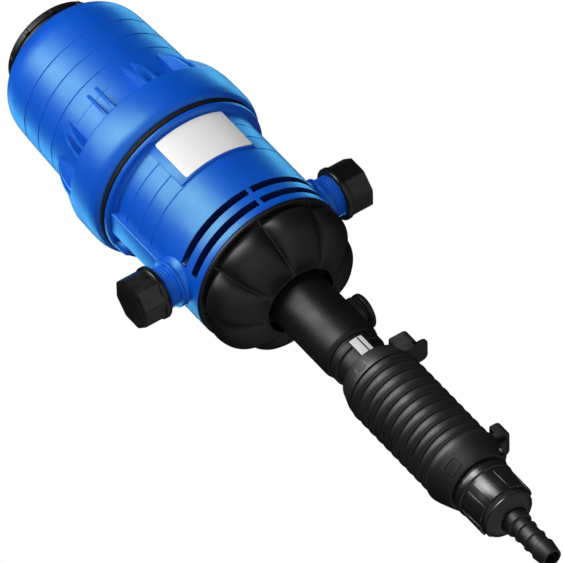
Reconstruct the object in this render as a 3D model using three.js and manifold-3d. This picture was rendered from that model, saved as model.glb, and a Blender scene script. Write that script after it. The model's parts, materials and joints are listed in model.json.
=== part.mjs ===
// Water-driven proportional dosing pump: a hydraulic piston motor under a blue bell, two capped
// pipe ports, a black lower housing, and below it a dosing stem with a screw setting sleeve, a
// check valve and a hose barb. Millimetres, +Z up along the main axis. The origin is where the
// axis of the two ports crosses the main axis. Ports lie along X, the label faces -Y.
import * as THREE from 'three';
import { mergeVertices } from 'three/addons/utils/BufferGeometryUtils.js';
import Module from 'manifold-3d';

const wasm = await Module();
wasm.setup();

// ---------------------------------------------------------------- driving dimensions
const GAP = 0.3;                 // clearance between pieces that touch
const RUN = 0.5;                 // radial clearance of pieces that slide or turn
const FINE = 24;                 // sides on the large turned pieces
const COARSE = 16;               // sides on the small turned pieces
const COIL_SIDES = 6;            // sides of a spring wire
const COIL_STEPS = 8;            // steps in each spring turn

const bodyRadius = 50.5;         // outside of the main body, which the large pieces follow
const body = {
  radius: bodyRadius, up: 62.5, down: 23, lowBore: 34, lowTop: 11,
  flangeRadius: bodyRadius + 6, flangeHeight: 2.8, flangeTaper: 1.2, spigotHeight: 18, spigotWall: 2.8,
};
const slots = { width: 5, pitch: 10.2, first: 3.1, depth: 11, halfGap: 16.4, crossRib: 2.5 };
const port = {
  boreRadius: 9, threadRadius: 13.2, threadDepth: 0.75, pitch: 1.81, ridges: 4, length: bodyRadius + 26.5,
  shoulderRadius: 15, shoulderLength: 2.5, shoulderAt: bodyRadius + 1.5, neckRadius: 14.3,
  filletRadius: 20, filletAt: bodyRadius - 8.5,
};
const portRib = { halfWidth: 8, radius: bodyRadius + 3.3, bottom: 13 };
const boss = { radius: 4.6, length: 6, orbit: bodyRadius + 1, angle: 155.6 };
const label = {
  arc: 55, height: 32, low: 26.3, thick: 0.7, padArc: 62, padLow: 25.2, padHeight: 33.2, padRise: 1.1,
};
const cap = {
  length: 18, radius: 16.4, sides: 8, rimRadius: 16.8, rimLength: 4, wall: 2.6, cover: 14, washer: 0.8,
};

const bell = {
  height: 116.8, radius: bodyRadius + 0.1, wall: 3,
  topRadius: bodyRadius - 2.2, shoulder: 14, crownRadius: 40,
  collarRadius: bodyRadius + 9.5, collarHeight: 26.5, collarLip: 4, recess: 5, mouth: 30, seal: 2.9,
};
const gusset = { groups: 12, spread: 6.4, thick: 1.7, height: 26, rise: 8.6 };
const topCap = {
  radius: 32, height: 13, edge: 7.5, bandDepth: 1, chamfer: 1.3, plug: 12, wall: 2.6,
  lugs: 10, lugPhase: -91.6, lugRise: 0.7, lugWidth: 3, sealDepth: 1.2, sealHeight: 2.2,
};

const housing = {
  height: 32.7, rimHeight: 2.4, rimStep: 4, lobes: 8, lobePhase: -100, bulge: 5.6, wall: 3.6,
  ringRadius: 24.25, recessRadius: 22.6, recessDepth: 8.5, ledge: 2,
};
const stem = {
  radius: 19.1, barrel: 51.5, chamfer: 1.6, bore: 14.9, flangeRadius: 25, flangeHeight: 4,
  neck: 2.4, neckRadius: 17, threadRadius: 17.7, threadDepth: 0.7, threadLength: 58, threadPitch: 4,
  ridges: 4,
};
const scale = { angle: -92.5, arc: 28, length: 36, thick: 0.5, ridge: 0.4, ridgeWidth: 0.7 };
const sidePlug = {
  drop: 84, radius: 11.2, reach: stem.radius + 1.3, thick: 3.4, shank: 5, shankLength: 7, seal: 1.6,
};

const setting = { gap: 9.5 };
const ear = { halfWidth: 10.3, height: 10, corner: 4 };
const lock = {
  height: 20, radius: 25.2, edge: 3, footRadius: 23.8, rimRadius: 20, rimDrop: 7.5, front: 8, ear: 31.4,
};
const tab = { reach: 37.6, halfWidth: 8.6, thick: 2, root: 22, corner: 4, guideWall: 1.4 };
const sleeve = { rounds: 10, pitch: 7.37, radius: 24.4, groove: 1.1, bore: 18.9 };
const clamp = {
  height: 19.7, topRadius: 24.2, radius: 25.3, edge: 2.2, belt: 4.8, footRadius: 20.3, ear: 33, earRise: 5.3,
};
const screw = { at: 20.9, angle: -27, head: 2.5, headHeight: 2, shank: 1.5, shankLength: 6, drop: 14 };

const dosing = { inner: 11.9, wall: 2, top: -120, flange: 1.9, flangeRadius: 18.4, spigot: 10 };
const nut = {
  length: 31.5, radius: 19.3, wall: 3, hole: 8.7, floor: 4.5, round: 9,
  panels: 8, panelPhase: -110, panelRise: 0.5, panelGap: 1.6, panelTop: 7,
};
const gasket = 1.6;
const barb = {
  bore: 5, neck: 8, root: 6.7, ridge: 8, neckEnd: 6.5, length: 37, tipRadius: 6.4,
  flange: 15.6, flangeHeight: 3, tipLength: 9,
};
const check = {
  seatHeight: 3.2, hole: 4, poppet: 6.5, poppetDisc: 1.4, poppetHeight: 4, poppetStem: 2.4,
  spring: 9, cage: 2.2, cageBar: 2.4, wire: 0.5, turns: 4,
};

const motor = {
  stroke: 36, crownRadius: 39.2, crownHeight: 8, crownAt: 62, linerWall: 2.2, linerTop: 125,
  skirtRadius: 20.5, skirtWall: 3, skirtBottom: -35, skirtFloor: 4, skirtSeal: 12,
  windowLow: 41, windowHigh: 53, windowHalfWidth: 6,
  guideWall: 3, guideTop: 20, guideBottom: -38.6, guideFlange: 3, guideFlangeTop: -15,
  sealHeight: 2.6, sealDepth: 1.8,
};
const plunger = {
  rod: 4, button: 3, buttonHeight: 3.7, head: 11.4, headHeight: 9, bottom: -200, sealHeight: 2.4,
  sealDepth: 1.6,
};
const toggle = {
  rod: 2.6, rodBottom: 48, rodTop: 126, stop: 7.1, stopHeight: 3,
  postAt: 13, postWidth: 6, postDepth: 6, postHeight: 24, base: 16, bridge: 14, bridgeHeight: 2,
  pin: 1.6, pinHeight: 15, arm: 22, armBack: 4, armHeight: 6.4, armWall: 3,
  spring: 20, wire: 0.8, coils: 5,
};
const valve = {
  at: 24, radius: 7, hole: 5, padHeight: 2, foot: 3, footHeight: 2,
  barLow: 4.5, barHeight: 3, barReach: 29, barHalfWidth: 13, windowReach: 17.5, windowHalfWidth: 9.2,
};

// ---------------------------------------------------------------- places worked out from them
const TAU = Math.PI * 2;
const rad = THREE.MathUtils.degToRad;
const bellBottom = body.up + GAP + bell.seal + GAP;
const bellTop = bellBottom + bell.height;
const collarTop = bellBottom + bell.collarHeight;
const housingTop = -body.down - GAP;
const housingBottom = housingTop - housing.height;
const ledgeTop = housingBottom + housing.recessDepth + housing.ledge;
const stemTop = ledgeTop + GAP + stem.flangeHeight;
const barrelEnd = housingBottom - stem.barrel;
const threadTop = barrelEnd - stem.neck;
const threadEnd = threadTop - stem.threadLength;
const lockTop = barrelEnd - setting.gap;
const lockBottom = lockTop - lock.height;
const sleeveTop = lockBottom - GAP;
const sleeveBottom = sleeveTop - sleeve.rounds * sleeve.pitch;
const clampTop = sleeveBottom - GAP;
const clampBottom = clampTop - clamp.height;
const dosingBottom = clampBottom - GAP - dosing.flange;
const nutTop = dosingBottom - GAP;
const nutBottom = nutTop - nut.length;
const seatTop = nutTop - dosing.spigot - GAP;
const seatBottom = seatTop - check.seatHeight;
const barbTip = nutBottom - barb.length;
const capOpen = port.length - cap.cover;
const capClosed = capOpen + cap.length;
const linerRadius = motor.crownRadius + RUN;
const guideRadius = motor.skirtRadius + RUN;
const crownTop = motor.crownAt + motor.crownHeight;
const toggleBase = crownTop + GAP;
const pinAt = toggleBase + toggle.pinHeight;
const springLow = toggleBase + toggle.postHeight + GAP;
const springHigh = springLow + toggle.spring;
const poppetBase = seatTop + GAP;
const poppetSpringLow = poppetBase + check.poppetDisc + GAP;

// ---------------------------------------------------------------- solids and booleans
function toSolid(geometry) {
  const bare = geometry.clone();
  bare.deleteAttribute('normal');
  bare.deleteAttribute('uv');
  const merged = mergeVertices(bare, 1e-4);
  const corners = merged.index.array;
  const kept = [];
  for (let i = 0; i < corners.length; i += 3) {
    const [a, b, c] = [corners[i], corners[i + 1], corners[i + 2]];
    if (a !== b && b !== c && c !== a) kept.push(a, b, c);
  }
  const mesh = new wasm.Mesh({
    numProp: 3,
    vertProperties: new Float32Array(merged.attributes.position.array),
    triVerts: new Uint32Array(kept),
  });
  return new wasm.Manifold(mesh);
}

function toGeometry(solid) {
  const mesh = solid.getMesh();
  const geometry = new THREE.BufferGeometry();
  geometry.setAttribute('position', new THREE.BufferAttribute(new Float32Array(mesh.vertProperties), 3));
  geometry.setIndex(new THREE.BufferAttribute(new Uint32Array(mesh.triVerts), 1));
  return geometry;
}

function join(first, ...others) {
  return toGeometry(others.reduce((sum, other) => sum.add(toSolid(other)), toSolid(first)));
}

function cut(stock, ...tools) {
  return toGeometry(tools.reduce((rest, tool) => rest.subtract(toSolid(tool)), toSolid(stock)));
}

function common(first, second) {
  return toGeometry(toSolid(first).intersect(toSolid(second)));
}

// A solid of revolution about Z from its [radius, height] outline, in either order.
function turned(outline, sides = FINE) {
  const points = outline.map(([r, z]) => new THREE.Vector2(r, z));
  if (THREE.ShapeUtils.area(points) < 0) points.reverse();
  const first = points[0];
  const last = points[points.length - 1];
  if (first.x > 0 || last.x > 0) points.push(first.clone());
  return new THREE.LatheGeometry(points, sides).rotateX(Math.PI / 2);
}

function tube(inner, outer, low, high, sides = FINE) {
  return turned([[inner, low], [outer, low], [outer, high], [inner, high]], sides);
}

function rod(radius, low, high, sides = COARSE) {
  return turned([[0, low], [radius, low], [radius, high], [0, high]], sides);
}

function block(x0, x1, y0, y1, z0, z1) {
  const box = new THREE.BoxGeometry(x1 - x0, y1 - y0, z1 - z0);
  return box.translate((x0 + x1) / 2, (y0 + y1) / 2, (z0 + z1) / 2);
}

function plate(shape, low, high, curveSegments = 6) {
  const settings = { depth: high - low, bevelEnabled: false, curveSegments };
  return new THREE.ExtrudeGeometry(shape, settings).translate(0, 0, low);
}

// Turns a piece that was made along +Z so that it lies along +X (side 1) or -X (side -1).
const towardsX = (geometry, side) => geometry.rotateY(side * Math.PI / 2);

// The part of a ring that spans an arc (degrees) about a middle angle.
function ringSector(inner, outer, low, high, middle, arc, steps = 12) {
  const shape = new THREE.Shape();
  const start = rad(middle - arc / 2);
  const end = rad(middle + arc / 2);
  shape.absarc(0, 0, outer, start, end, false);
  shape.absarc(0, 0, inner, end, start, true);
  return plate(shape, low, high, steps);
}

// Thread flanks down a cylinder, as an outline of ridges from the first height to the last.
function ridges(count, pitch, root, crest, start) {
  return Array.from({ length: count }, (_, i) => start + i * pitch)
    .flatMap((z) => [[root, z], [crest, z + 0.45 * pitch], [root, z + 0.9 * pitch]]);
}

function spring(radius, wire, low, high, turns) {
  class Helix extends THREE.Curve {
    getPoint(t, target = new THREE.Vector3()) {
      const angle = t * turns * TAU;
      return target.set(radius * Math.cos(angle), radius * Math.sin(angle),
        low + wire + t * (high - low - 2 * wire));
    }
  }
  const section = new THREE.Shape();
  section.absarc(0, 0, wire, 0, TAU, false);
  const settings = {
    steps: turns * COIL_STEPS, bevelEnabled: false, extrudePath: new Helix(), curveSegments: COIL_SIDES / 2,
  };
  return new THREE.ExtrudeGeometry(section, settings);
}

// ---------------------------------------------------------------- main body with its two ports
function portBarrel(side) {
  const threadStart = port.shoulderAt + port.shoulderLength + 0.6;
  const root = port.threadRadius - port.threadDepth;
  const outline = [
    [0, body.lowBore + 2], [port.filletRadius, body.lowBore + 2],
    [port.filletRadius, port.filletAt], [port.neckRadius + 2, port.filletAt + 4],
    [port.neckRadius, port.shoulderAt],
    [port.shoulderRadius, port.shoulderAt + 0.5],
    [port.shoulderRadius, port.shoulderAt + port.shoulderLength],
    ...ridges(port.ridges, port.pitch, root, port.threadRadius, threadStart),
    [root, port.length - 0.8], [root - 0.8, port.length], [0, port.length],
  ];
  return towardsX(turned(outline, 24), side);
}

function slotCutter(top) {
  const outside = body.radius + 2;
  const ring = tube(body.radius - slots.depth, outside, top - slots.width, top);
  const portWeb = block(-outside, outside, -slots.halfGap, slots.halfGap, top - slots.width - 1, top + 1);
  const crossRib = block(-slots.crossRib / 2, slots.crossRib / 2, -outside, outside,
    top - slots.width - 1, top + 1);
  return cut(ring, portWeb, crossRib);
}

function portRibBlock(side) {
  const inner = body.radius - 3;
  const [x0, x1] = side > 0 ? [inner, portRib.radius] : [-portRib.radius, -inner];
  return block(x0, x1, -portRib.halfWidth, portRib.halfWidth, portRib.bottom, body.up - 1);
}

function flangeBoss(angle) {
  const top = body.up - body.flangeHeight + 1;
  const outline = [
    [0, top - boss.length], [boss.radius * 0.6, top - boss.length], [boss.radius, top - boss.length * 0.6],
    [boss.radius, top], [0, top],
  ];
  return turned(outline, 12).translate(boss.orbit, 0, 0).rotateZ(rad(angle));
}

function mainBody() {
  const flangeLow = body.up - body.flangeHeight;
  const spigotRadius = bell.radius - bell.wall - RUN;
  const outline = [
    [body.lowBore, -body.down], [body.radius, -body.down],
    [body.radius, flangeLow - body.flangeTaper],
    [body.flangeRadius - 1, flangeLow], [body.flangeRadius, flangeLow + 1], [body.flangeRadius, body.up],
    [spigotRadius, body.up], [spigotRadius, body.up + body.spigotHeight],
    [spigotRadius - body.spigotWall, body.up + body.spigotHeight],
    [spigotRadius - body.spigotWall, body.lowTop], [body.lowBore, body.lowTop],
  ];
  const labelPad = ringSector(
    body.radius - 2, body.radius + label.padRise, label.padLow, label.padLow + label.padHeight,
    -90, label.padArc);
  const shell = join(
    turned(outline), portBarrel(1), portBarrel(-1), portRibBlock(1), portRibBlock(-1),
    flangeBoss(boss.angle), flangeBoss(180 - boss.angle), labelPad);
  const secondSlot = -slots.first - slots.pitch;
  const bore = towardsX(rod(port.boreRadius, -port.length - 1, port.length + 1), 1);
  const lower = rod(body.lowBore, -body.down - 1, body.lowTop + 1, FINE);
  const upper = rod(spigotRadius - body.spigotWall, body.lowTop, body.up, FINE);
  return cut(shell, slotCutter(-slots.first), slotCutter(secondSlot), lower, upper, bore);
}

function labelPlate() {
  const face = body.radius + label.padRise + GAP / 3;
  return ringSector(face, face + label.thick, label.low, label.low + label.height, -90, label.arc);
}

// Screw cap for one port: an octagonal cup with a round rim at its open end.
function portCap(side) {
  const shell = turned([[0, capOpen + 1], [cap.radius, capOpen + 1], [cap.radius, capClosed],
    [0, capClosed]], cap.sides);
  const rim = rod(cap.rimRadius, capOpen, capOpen + cap.rimLength, FINE);
  const hollow = rod(port.threadRadius + GAP, capOpen - 1, capClosed - cap.wall, FINE);
  return towardsX(cut(join(shell.rotateZ(Math.PI / cap.sides), rim), hollow), side);
}

function capWasher(side) {
  const seat = port.length + GAP;
  const root = port.threadRadius - port.threadDepth;
  return towardsX(tube(port.boreRadius, root, seat, seat + cap.washer, COARSE), side);
}

// ---------------------------------------------------------------- bell cover and its top cap
function bellGusset(angle, offset) {
  const foot = collarTop - 2;
  const shape = new THREE.Shape();
  shape.moveTo(bell.radius - 2, foot);
  shape.lineTo(bell.radius + gusset.rise, foot);
  shape.quadraticCurveTo(bell.radius + 1.2, foot + gusset.height * 0.45, bell.radius - 0.4,
    foot + gusset.height + 2);
  shape.lineTo(bell.radius - 2, foot + gusset.height + 2);
  const web = plate(shape, -gusset.thick / 2, gusset.thick / 2, 5);
  return web.rotateX(Math.PI / 2).translate(0, offset, 0).rotateZ(angle);
}

function bellCover() {
  const shoulderZ = bellTop - bell.shoulder;
  const inner = bell.radius - bell.wall;
  const corner = bell.topRadius - bell.crownRadius;
  const outline = [
    [bell.mouth, bellTop], [bell.crownRadius, bellTop],
    [bell.crownRadius + corner * 0.6, bellTop - bell.shoulder * 0.44],
    [bell.crownRadius + corner * 0.85, bellTop - bell.shoulder * 0.7], [bell.topRadius, shoulderZ],
    [bell.radius, collarTop], [bell.collarRadius - 1, collarTop], [bell.collarRadius, collarTop - 1],
    [bell.collarRadius, bellBottom + bell.collarLip], [bell.collarRadius - 1.2, bellBottom + 1.2],
    [bell.collarRadius - 3, bellBottom], [inner, bellBottom], [inner, collarTop],
    [bell.topRadius - bell.wall, shoulderZ], [bell.crownRadius - bell.wall, bellTop - bell.wall],
    [bell.mouth, bellTop - bell.wall],
  ];
  const webs = [];
  for (let i = 0; i < gusset.groups; i += 1) {
    const angle = i * TAU / gusset.groups;
    webs.push(bellGusset(angle, gusset.spread / 2), bellGusset(angle, -gusset.spread / 2));
  }
  const shell = join(turned(outline), ...webs);
  const recess = tube(inner + bell.recess * 0.7, inner + bell.recess * 1.8, bellBottom - 1,
    collarTop - bell.recess);
  return cut(shell, recess);
}

function bellSeal() {
  const inner = bell.radius - bell.wall + RUN;
  return tube(inner, body.flangeRadius, body.up + GAP, bellBottom - GAP);
}

function capLug(angle) {
  const low = bellTop + GAP + topCap.edge;
  const high = bellTop + topCap.height - topCap.chamfer - 0.5;
  const half = topCap.lugWidth / 2;
  const lug = block(topCap.radius - 1.5, topCap.radius + topCap.lugRise, -half, half, low, high);
  return lug.rotateZ(rad(angle));
}

function topCapPiece() {
  const low = bellTop + GAP;
  const high = bellTop + topCap.height;
  const plugOuter = bell.mouth - RUN;
  const outline = [
    [0, high], [topCap.radius - topCap.chamfer, high], [topCap.radius, high - topCap.chamfer],
    [topCap.radius, low + topCap.edge], [topCap.radius - topCap.bandDepth, low + topCap.edge],
    [topCap.radius - topCap.bandDepth, low], [plugOuter, low], [plugOuter, low - topCap.plug],
    [plugOuter - topCap.wall, low - topCap.plug], [plugOuter - topCap.wall, high - topCap.wall],
    [0, high - topCap.wall],
  ];
  const lugAngle = (index) => topCap.lugPhase + index * 360 / topCap.lugs;
  const lugs = Array.from({ length: topCap.lugs }, (_, index) => capLug(lugAngle(index)));
  const seatLow = low - (topCap.plug + topCap.sealHeight) / 2 - GAP;
  const seat = tube(plugOuter - topCap.sealDepth, plugOuter + 1, seatLow,
    seatLow + topCap.sealHeight + 2 * GAP);
  return cut(join(turned(outline), ...lugs), seat);
}

// The cap turns inside its seal, so the seal's inner flats clear the corners of the groove.
function topCapSeal() {
  const low = bellTop + GAP - (topCap.plug + topCap.sealHeight) / 2;
  const inner = (bell.mouth - RUN - topCap.sealDepth + GAP / 2) / Math.cos(Math.PI / FINE);
  return tube(inner, bell.mouth - GAP, low, low + topCap.sealHeight);
}

// ---------------------------------------------------------------- lower housing and stem
// Bulges the flank of the housing outwards between its seams.
function lobed(geometry, low, high) {
  const place = geometry.attributes.position;
  for (let i = 0; i < place.count; i += 1) {
    const [x, y, z] = [place.getX(i), place.getY(i), place.getZ(i)];
    const radius = Math.hypot(x, y);
    if (radius < 1 || z >= high || z <= low) continue;
    const rise = Math.sin(Math.PI * (high - z) / (high - low)) ** 0.7;
    const turn = Math.atan2(y, x) - rad(housing.lobePhase);
    const lobe = Math.abs(Math.sin(turn * housing.lobes / 2)) ** 0.6;
    const grown = (radius + housing.bulge * rise * lobe) / radius;
    place.setXYZ(i, x * grown, y * grown, z);
  }
  return geometry;
}

function housingFlank(shrink = 0) {
  const top = body.radius - housing.rimStep - shrink;
  const drop = housing.height - housing.rimHeight;
  const shape = [[0, 0], [0.12, 0.14], [0.3, 0.3], [0.5, 0.46], [0.7, 0.64], [0.88, 0.82], [1, 1]];
  return shape.map(([across, down]) => [
    top - across * (top - housing.ringRadius + shrink * 0.4),
      housingTop - housing.rimHeight - down * drop * 0.97]);
}

function lowerHousing() {
  const outline = [
    [0, housingTop], [body.radius, housingTop], [body.radius, housingTop - housing.rimHeight],
    ...housingFlank(), [housing.ringRadius, housingBottom], [0, housingBottom],
  ];
  const outside = lobed(turned(outline, housing.lobes * 4), housingBottom + 1,
    housingTop - housing.rimHeight - 0.1);
  const inner = housingFlank(housing.wall).filter(([, z]) => z > ledgeTop + 1);
  const lowest = inner[inner.length - 1][0];
  const cavity = turned([[0, housingTop + 1], [inner[0][0], housingTop + 1],
    ...inner, [lowest, ledgeTop], [0, ledgeTop]]);
  const recess = rod(housing.recessRadius, housingBottom - 1, housingBottom + housing.recessDepth, FINE);
  const passage = rod(stem.radius + GAP, housingBottom - 1, ledgeTop + 1, FINE);
  return cut(outside, cavity, recess, passage);
}

function stemTube() {
  const root = stem.threadRadius - stem.threadDepth;
  const threadStart = threadTop - 1 - stem.ridges * stem.threadPitch;
  const outline = [
    [stem.bore, stemTop], [stem.flangeRadius, stemTop], [stem.flangeRadius, stemTop - stem.flangeHeight],
    [stem.radius, stemTop - stem.flangeHeight], [stem.radius, barrelEnd + stem.chamfer],
    [stem.radius - stem.chamfer * 0.7, barrelEnd], [stem.neckRadius, barrelEnd],
    [stem.neckRadius, threadTop],
    ...ridges(stem.ridges, stem.threadPitch, root, stem.threadRadius, threadStart).reverse(),
    [root, threadEnd], [stem.bore, threadEnd],
  ];
  const collar = towardsX(rod(sidePlug.radius, stem.bore + 1, sidePlug.reach, COARSE), 1)
    .translate(0, 0, -sidePlug.drop);
  const hole = towardsX(rod(sidePlug.shank + GAP, 0, sidePlug.reach + 1), 1).translate(0, 0, -sidePlug.drop);
  const flat = ringSector(
    root - GAP / 3, stem.radius - 1, threadTop - scale.length - 1, threadTop - GAP, scale.angle,
      scale.arc + 3);
  return cut(join(turned(outline), collar), hole, flat);
}

function stemSeal() {
  const low = ledgeTop + GAP + stem.flangeHeight + GAP;
  return tube(stem.bore + 2, stem.flangeRadius - 3, low, low + 2, COARSE);
}

function scaleStrip() {
  const face = stem.threadRadius - stem.threadDepth + GAP / 3;
  const outer = face + scale.thick;
  const low = threadTop - scale.length;
  const strip = ringSector(face, outer, low, threadTop - 2 * GAP, scale.angle, scale.arc, 4);
  const line = ringSector(face, outer + scale.ridge, low, threadTop - 2 * GAP,
    scale.angle + scale.arc * 0.12,
    (scale.ridgeWidth / face) * 180 / Math.PI, 2);
  return join(strip, line);
}

function sidePlugPiece() {
  const face = sidePlug.reach + GAP + sidePlug.seal + GAP;
  const outline = [
    [0, face + sidePlug.thick], [sidePlug.radius - 0.8, face + sidePlug.thick],
    [sidePlug.radius, face + sidePlug.thick - 0.8],
    [sidePlug.radius, face], [sidePlug.shank, face], [sidePlug.shank, sidePlug.reach - sidePlug.shankLength],
    [0, sidePlug.reach - sidePlug.shankLength],
  ];
  return towardsX(turned(outline, COARSE), 1).translate(0, 0, -sidePlug.drop);
}

function sidePlugSeal() {
  const low = sidePlug.reach + GAP;
  const ring = tube(sidePlug.shank + GAP, sidePlug.radius - 0.6, low, low + sidePlug.seal, COARSE);
  return towardsX(ring, 1).translate(0, 0, -sidePlug.drop);
}

// ---------------------------------------------------------------- setting sleeve
// A finger ear on the +X side, square with rounded outer corners.
function earBlock(root, reach, low, high) {
  const shape = new THREE.Shape();
  shape.moveTo(root, -ear.halfWidth);
  shape.lineTo(reach - ear.corner, -ear.halfWidth);
  shape.absarc(reach - ear.corner, -ear.halfWidth + ear.corner, ear.corner, -Math.PI / 2, 0, false);
  shape.absarc(reach - ear.corner, ear.halfWidth - ear.corner, ear.corner, 0, Math.PI / 2, false);
  shape.lineTo(root, ear.halfWidth);
  return plate(shape, low, high, 4);
}

function tabSlot(clearance) {
  const high = lockTop - ear.height - GAP;
  return [high - tab.thick - clearance, high + clearance];
}

// The collar stands high behind and low in front, where it leaves the scale in view.
function lockCollar() {
  const cone = turned([
    [0, lockBottom], [lock.footRadius, lockBottom], [lock.rimRadius, lockTop - lock.rimDrop],
    [0, lockTop - lock.rimDrop]]);
  const drum = turned([
    [0, lockBottom], [lock.footRadius, lockBottom], [lock.radius, lockBottom + lock.edge],
    [lock.radius, lockTop - lock.edge], [lock.radius - lock.edge * 0.6, lockTop], [0, lockTop]]);
  const behind = block(-lock.ear, lock.ear, -lock.front, lock.ear, lockBottom - 1, lockTop + 1);
  const [slotLow, slotHigh] = tabSlot(GAP);
  const guideHalf = tab.halfWidth + GAP + tab.guideWall;
  const guide = block(stem.radius, lock.ear - 4, -guideHalf, guideHalf, slotLow - tab.guideWall,
    slotHigh + 1);
  const bore = rod(sleeve.bore, lockBottom - 1, lockTop + 1, FINE);
  const channel = block(tab.root - GAP, lock.ear + 1, -tab.halfWidth - GAP, tab.halfWidth + GAP,
    slotLow, slotHigh);
  const finger = earBlock(stem.radius, lock.ear, lockTop - ear.height, lockTop);
  return cut(join(cone, common(drum, behind), finger, guide), bore, channel);
}

function lockTab() {
  const [low, high] = tabSlot(0);
  const shape = new THREE.Shape();
  shape.moveTo(tab.root, -tab.halfWidth);
  shape.lineTo(tab.reach - tab.corner, -tab.halfWidth);
  shape.absarc(tab.reach - tab.corner, -tab.halfWidth + tab.corner, tab.corner, -Math.PI / 2, 0, false);
  shape.absarc(tab.reach - tab.corner, tab.halfWidth - tab.corner, tab.corner, 0, Math.PI / 2, false);
  shape.lineTo(tab.root, tab.halfWidth);
  return plate(shape, low, high, 4);
}

function gripSleeve() {
  const outline = [[sleeve.bore, sleeveTop]];
  for (let i = 0; i < sleeve.rounds; i += 1) {
    const high = sleeveTop - i * sleeve.pitch;
    const low = high - sleeve.pitch;
    const valley = sleeve.radius - sleeve.groove;
    outline.push([valley, high], [sleeve.radius, high - sleeve.pitch * 0.3],
      [sleeve.radius, low + sleeve.pitch * 0.3]);
    if (i === sleeve.rounds - 1) outline.push([valley, low]);
  }
  outline.push([sleeve.bore, sleeveBottom]);
  return turned(outline);
}

// Moves a piece from the main axis to the axis of the collar's screw.
const toScrew = (geometry) => geometry.translate(screw.at, 0, 0).rotateZ(rad(screw.angle));

function clampCollar() {
  const outline = [
    [0, clampTop], [clamp.topRadius, clampTop], [clamp.radius, clampTop - clamp.edge],
    [clamp.radius, clampTop - clamp.belt], [clamp.footRadius, clampBottom], [0, clampBottom],
  ];
  const earLow = clampTop + clamp.earRise - ear.height;
  const tip = earBlock(sleeve.radius + 2 * GAP, clamp.ear, earLow, clampTop + clamp.earRise);
  const root = earBlock(stem.bore, clamp.ear, earLow, clampTop - GAP);
  const bore = rod(dosing.inner + dosing.wall + RUN, clampBottom - 1, clampTop + 1, FINE);
  const face = clampTop - screw.drop;
  const hole = toScrew(rod(screw.shank + GAP, clampBottom - 1,
    face + screw.headHeight + screw.shankLength + GAP));
  const pocket = toScrew(rod(screw.head + 0.6, clampBottom - 1, face + screw.headHeight, 12));
  return cut(join(turned(outline), tip, root), bore, hole, pocket);
}

function clampScrew() {
  const face = clampTop - screw.drop;
  const seat = face + screw.headHeight - GAP;
  const outline = [
    [0, face], [screw.head - 0.6, face], [screw.head, face + 0.6], [screw.head, seat], [screw.shank, seat],
    [screw.shank, seat + screw.shankLength], [0, seat + screw.shankLength],
  ];
  return toScrew(turned(outline, 12));
}

// ---------------------------------------------------------------- dosing cylinder, check valve, hose tail
function dosingCylinder() {
  const outer = dosing.inner + dosing.wall;
  const flangeTop = dosingBottom + dosing.flange;
  const spigot = nut.radius - nut.wall - RUN;
  return turned([
    [dosing.inner, dosing.top], [outer, dosing.top], [outer, flangeTop], [dosing.flangeRadius, flangeTop],
    [dosing.flangeRadius, dosingBottom], [spigot, dosingBottom], [spigot, dosingBottom - dosing.spigot],
    [dosing.inner, dosingBottom - dosing.spigot]]);
}

function dosingSeal() {
  const outer = dosing.inner + dosing.wall;
  return tube(outer + GAP / 2, stem.bore - GAP / 2, dosing.top - 12, dosing.top - 9.6);
}

function clampNut() {
  const cavity = nut.radius - nut.wall;
  const floor = nutBottom + nut.floor;
  const shell = turned([
    [0, nutTop], [nut.radius, nutTop], [nut.radius, nutTop - 4.5], [nut.radius - 0.6, nutTop - 5.5],
    [nut.radius - 1, nutBottom + nut.round], [nut.radius - 2.4, nutBottom + nut.round * 0.55],
    [nut.radius - 5.4, nutBottom + nut.round * 0.2], [nut.hole + 2, nutBottom], [0, nutBottom]]);
  const panels = Array.from({ length: nut.panels }, (_, i) => {
    const arc = 360 / nut.panels - nut.panelGap * 180 / Math.PI / nut.radius * 2;
    return ringSector(cavity, nut.radius - 0.8 + nut.panelRise, nutBottom + nut.round, nutTop - nut.panelTop,
      nut.panelPhase + i * 360 / nut.panels, arc, 3);
  });
  const bore = rod(nut.hole, nutBottom - 1, nutTop + 1, FINE);
  const hollow = rod(cavity, floor, nutTop + 1, FINE);
  return cut(join(shell, ...panels), bore, hollow);
}

function checkSeat() {
  return tube(check.hole, nut.radius - nut.wall - RUN, seatBottom, seatTop, COARSE);
}

function checkPoppet() {
  const discTop = poppetBase + check.poppetDisc;
  const tip = poppetBase + check.poppetHeight;
  return turned([
    [0, seatBottom], [check.poppetStem, seatBottom], [check.poppetStem, poppetBase],
    [check.poppet, poppetBase],
    [check.poppet, discTop], [check.poppet / 2, discTop + 0.2], [check.poppet / 3, tip], [0, tip]]);
}

function checkSpring() {
  return spring(check.poppet - 1, check.wire, poppetSpringLow, poppetSpringLow + check.spring, check.turns);
}

function checkCage() {
  const low = poppetSpringLow + check.spring + GAP;
  const high = low + check.cage;
  const reach = check.poppet + 2;
  const half = check.cageBar / 2;
  const rim = tube(check.poppet + 1, dosing.inner - GAP, low, high, COARSE);
  return join(rim, block(-reach, reach, -half, half, low, high),
    block(-half, half, -reach, reach, low, high));
}

function nutGasket() {
  const floor = nutBottom + nut.floor + GAP;
  return tube(barb.neck + RUN, barb.flange, floor, floor + gasket, COARSE);
}

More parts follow.
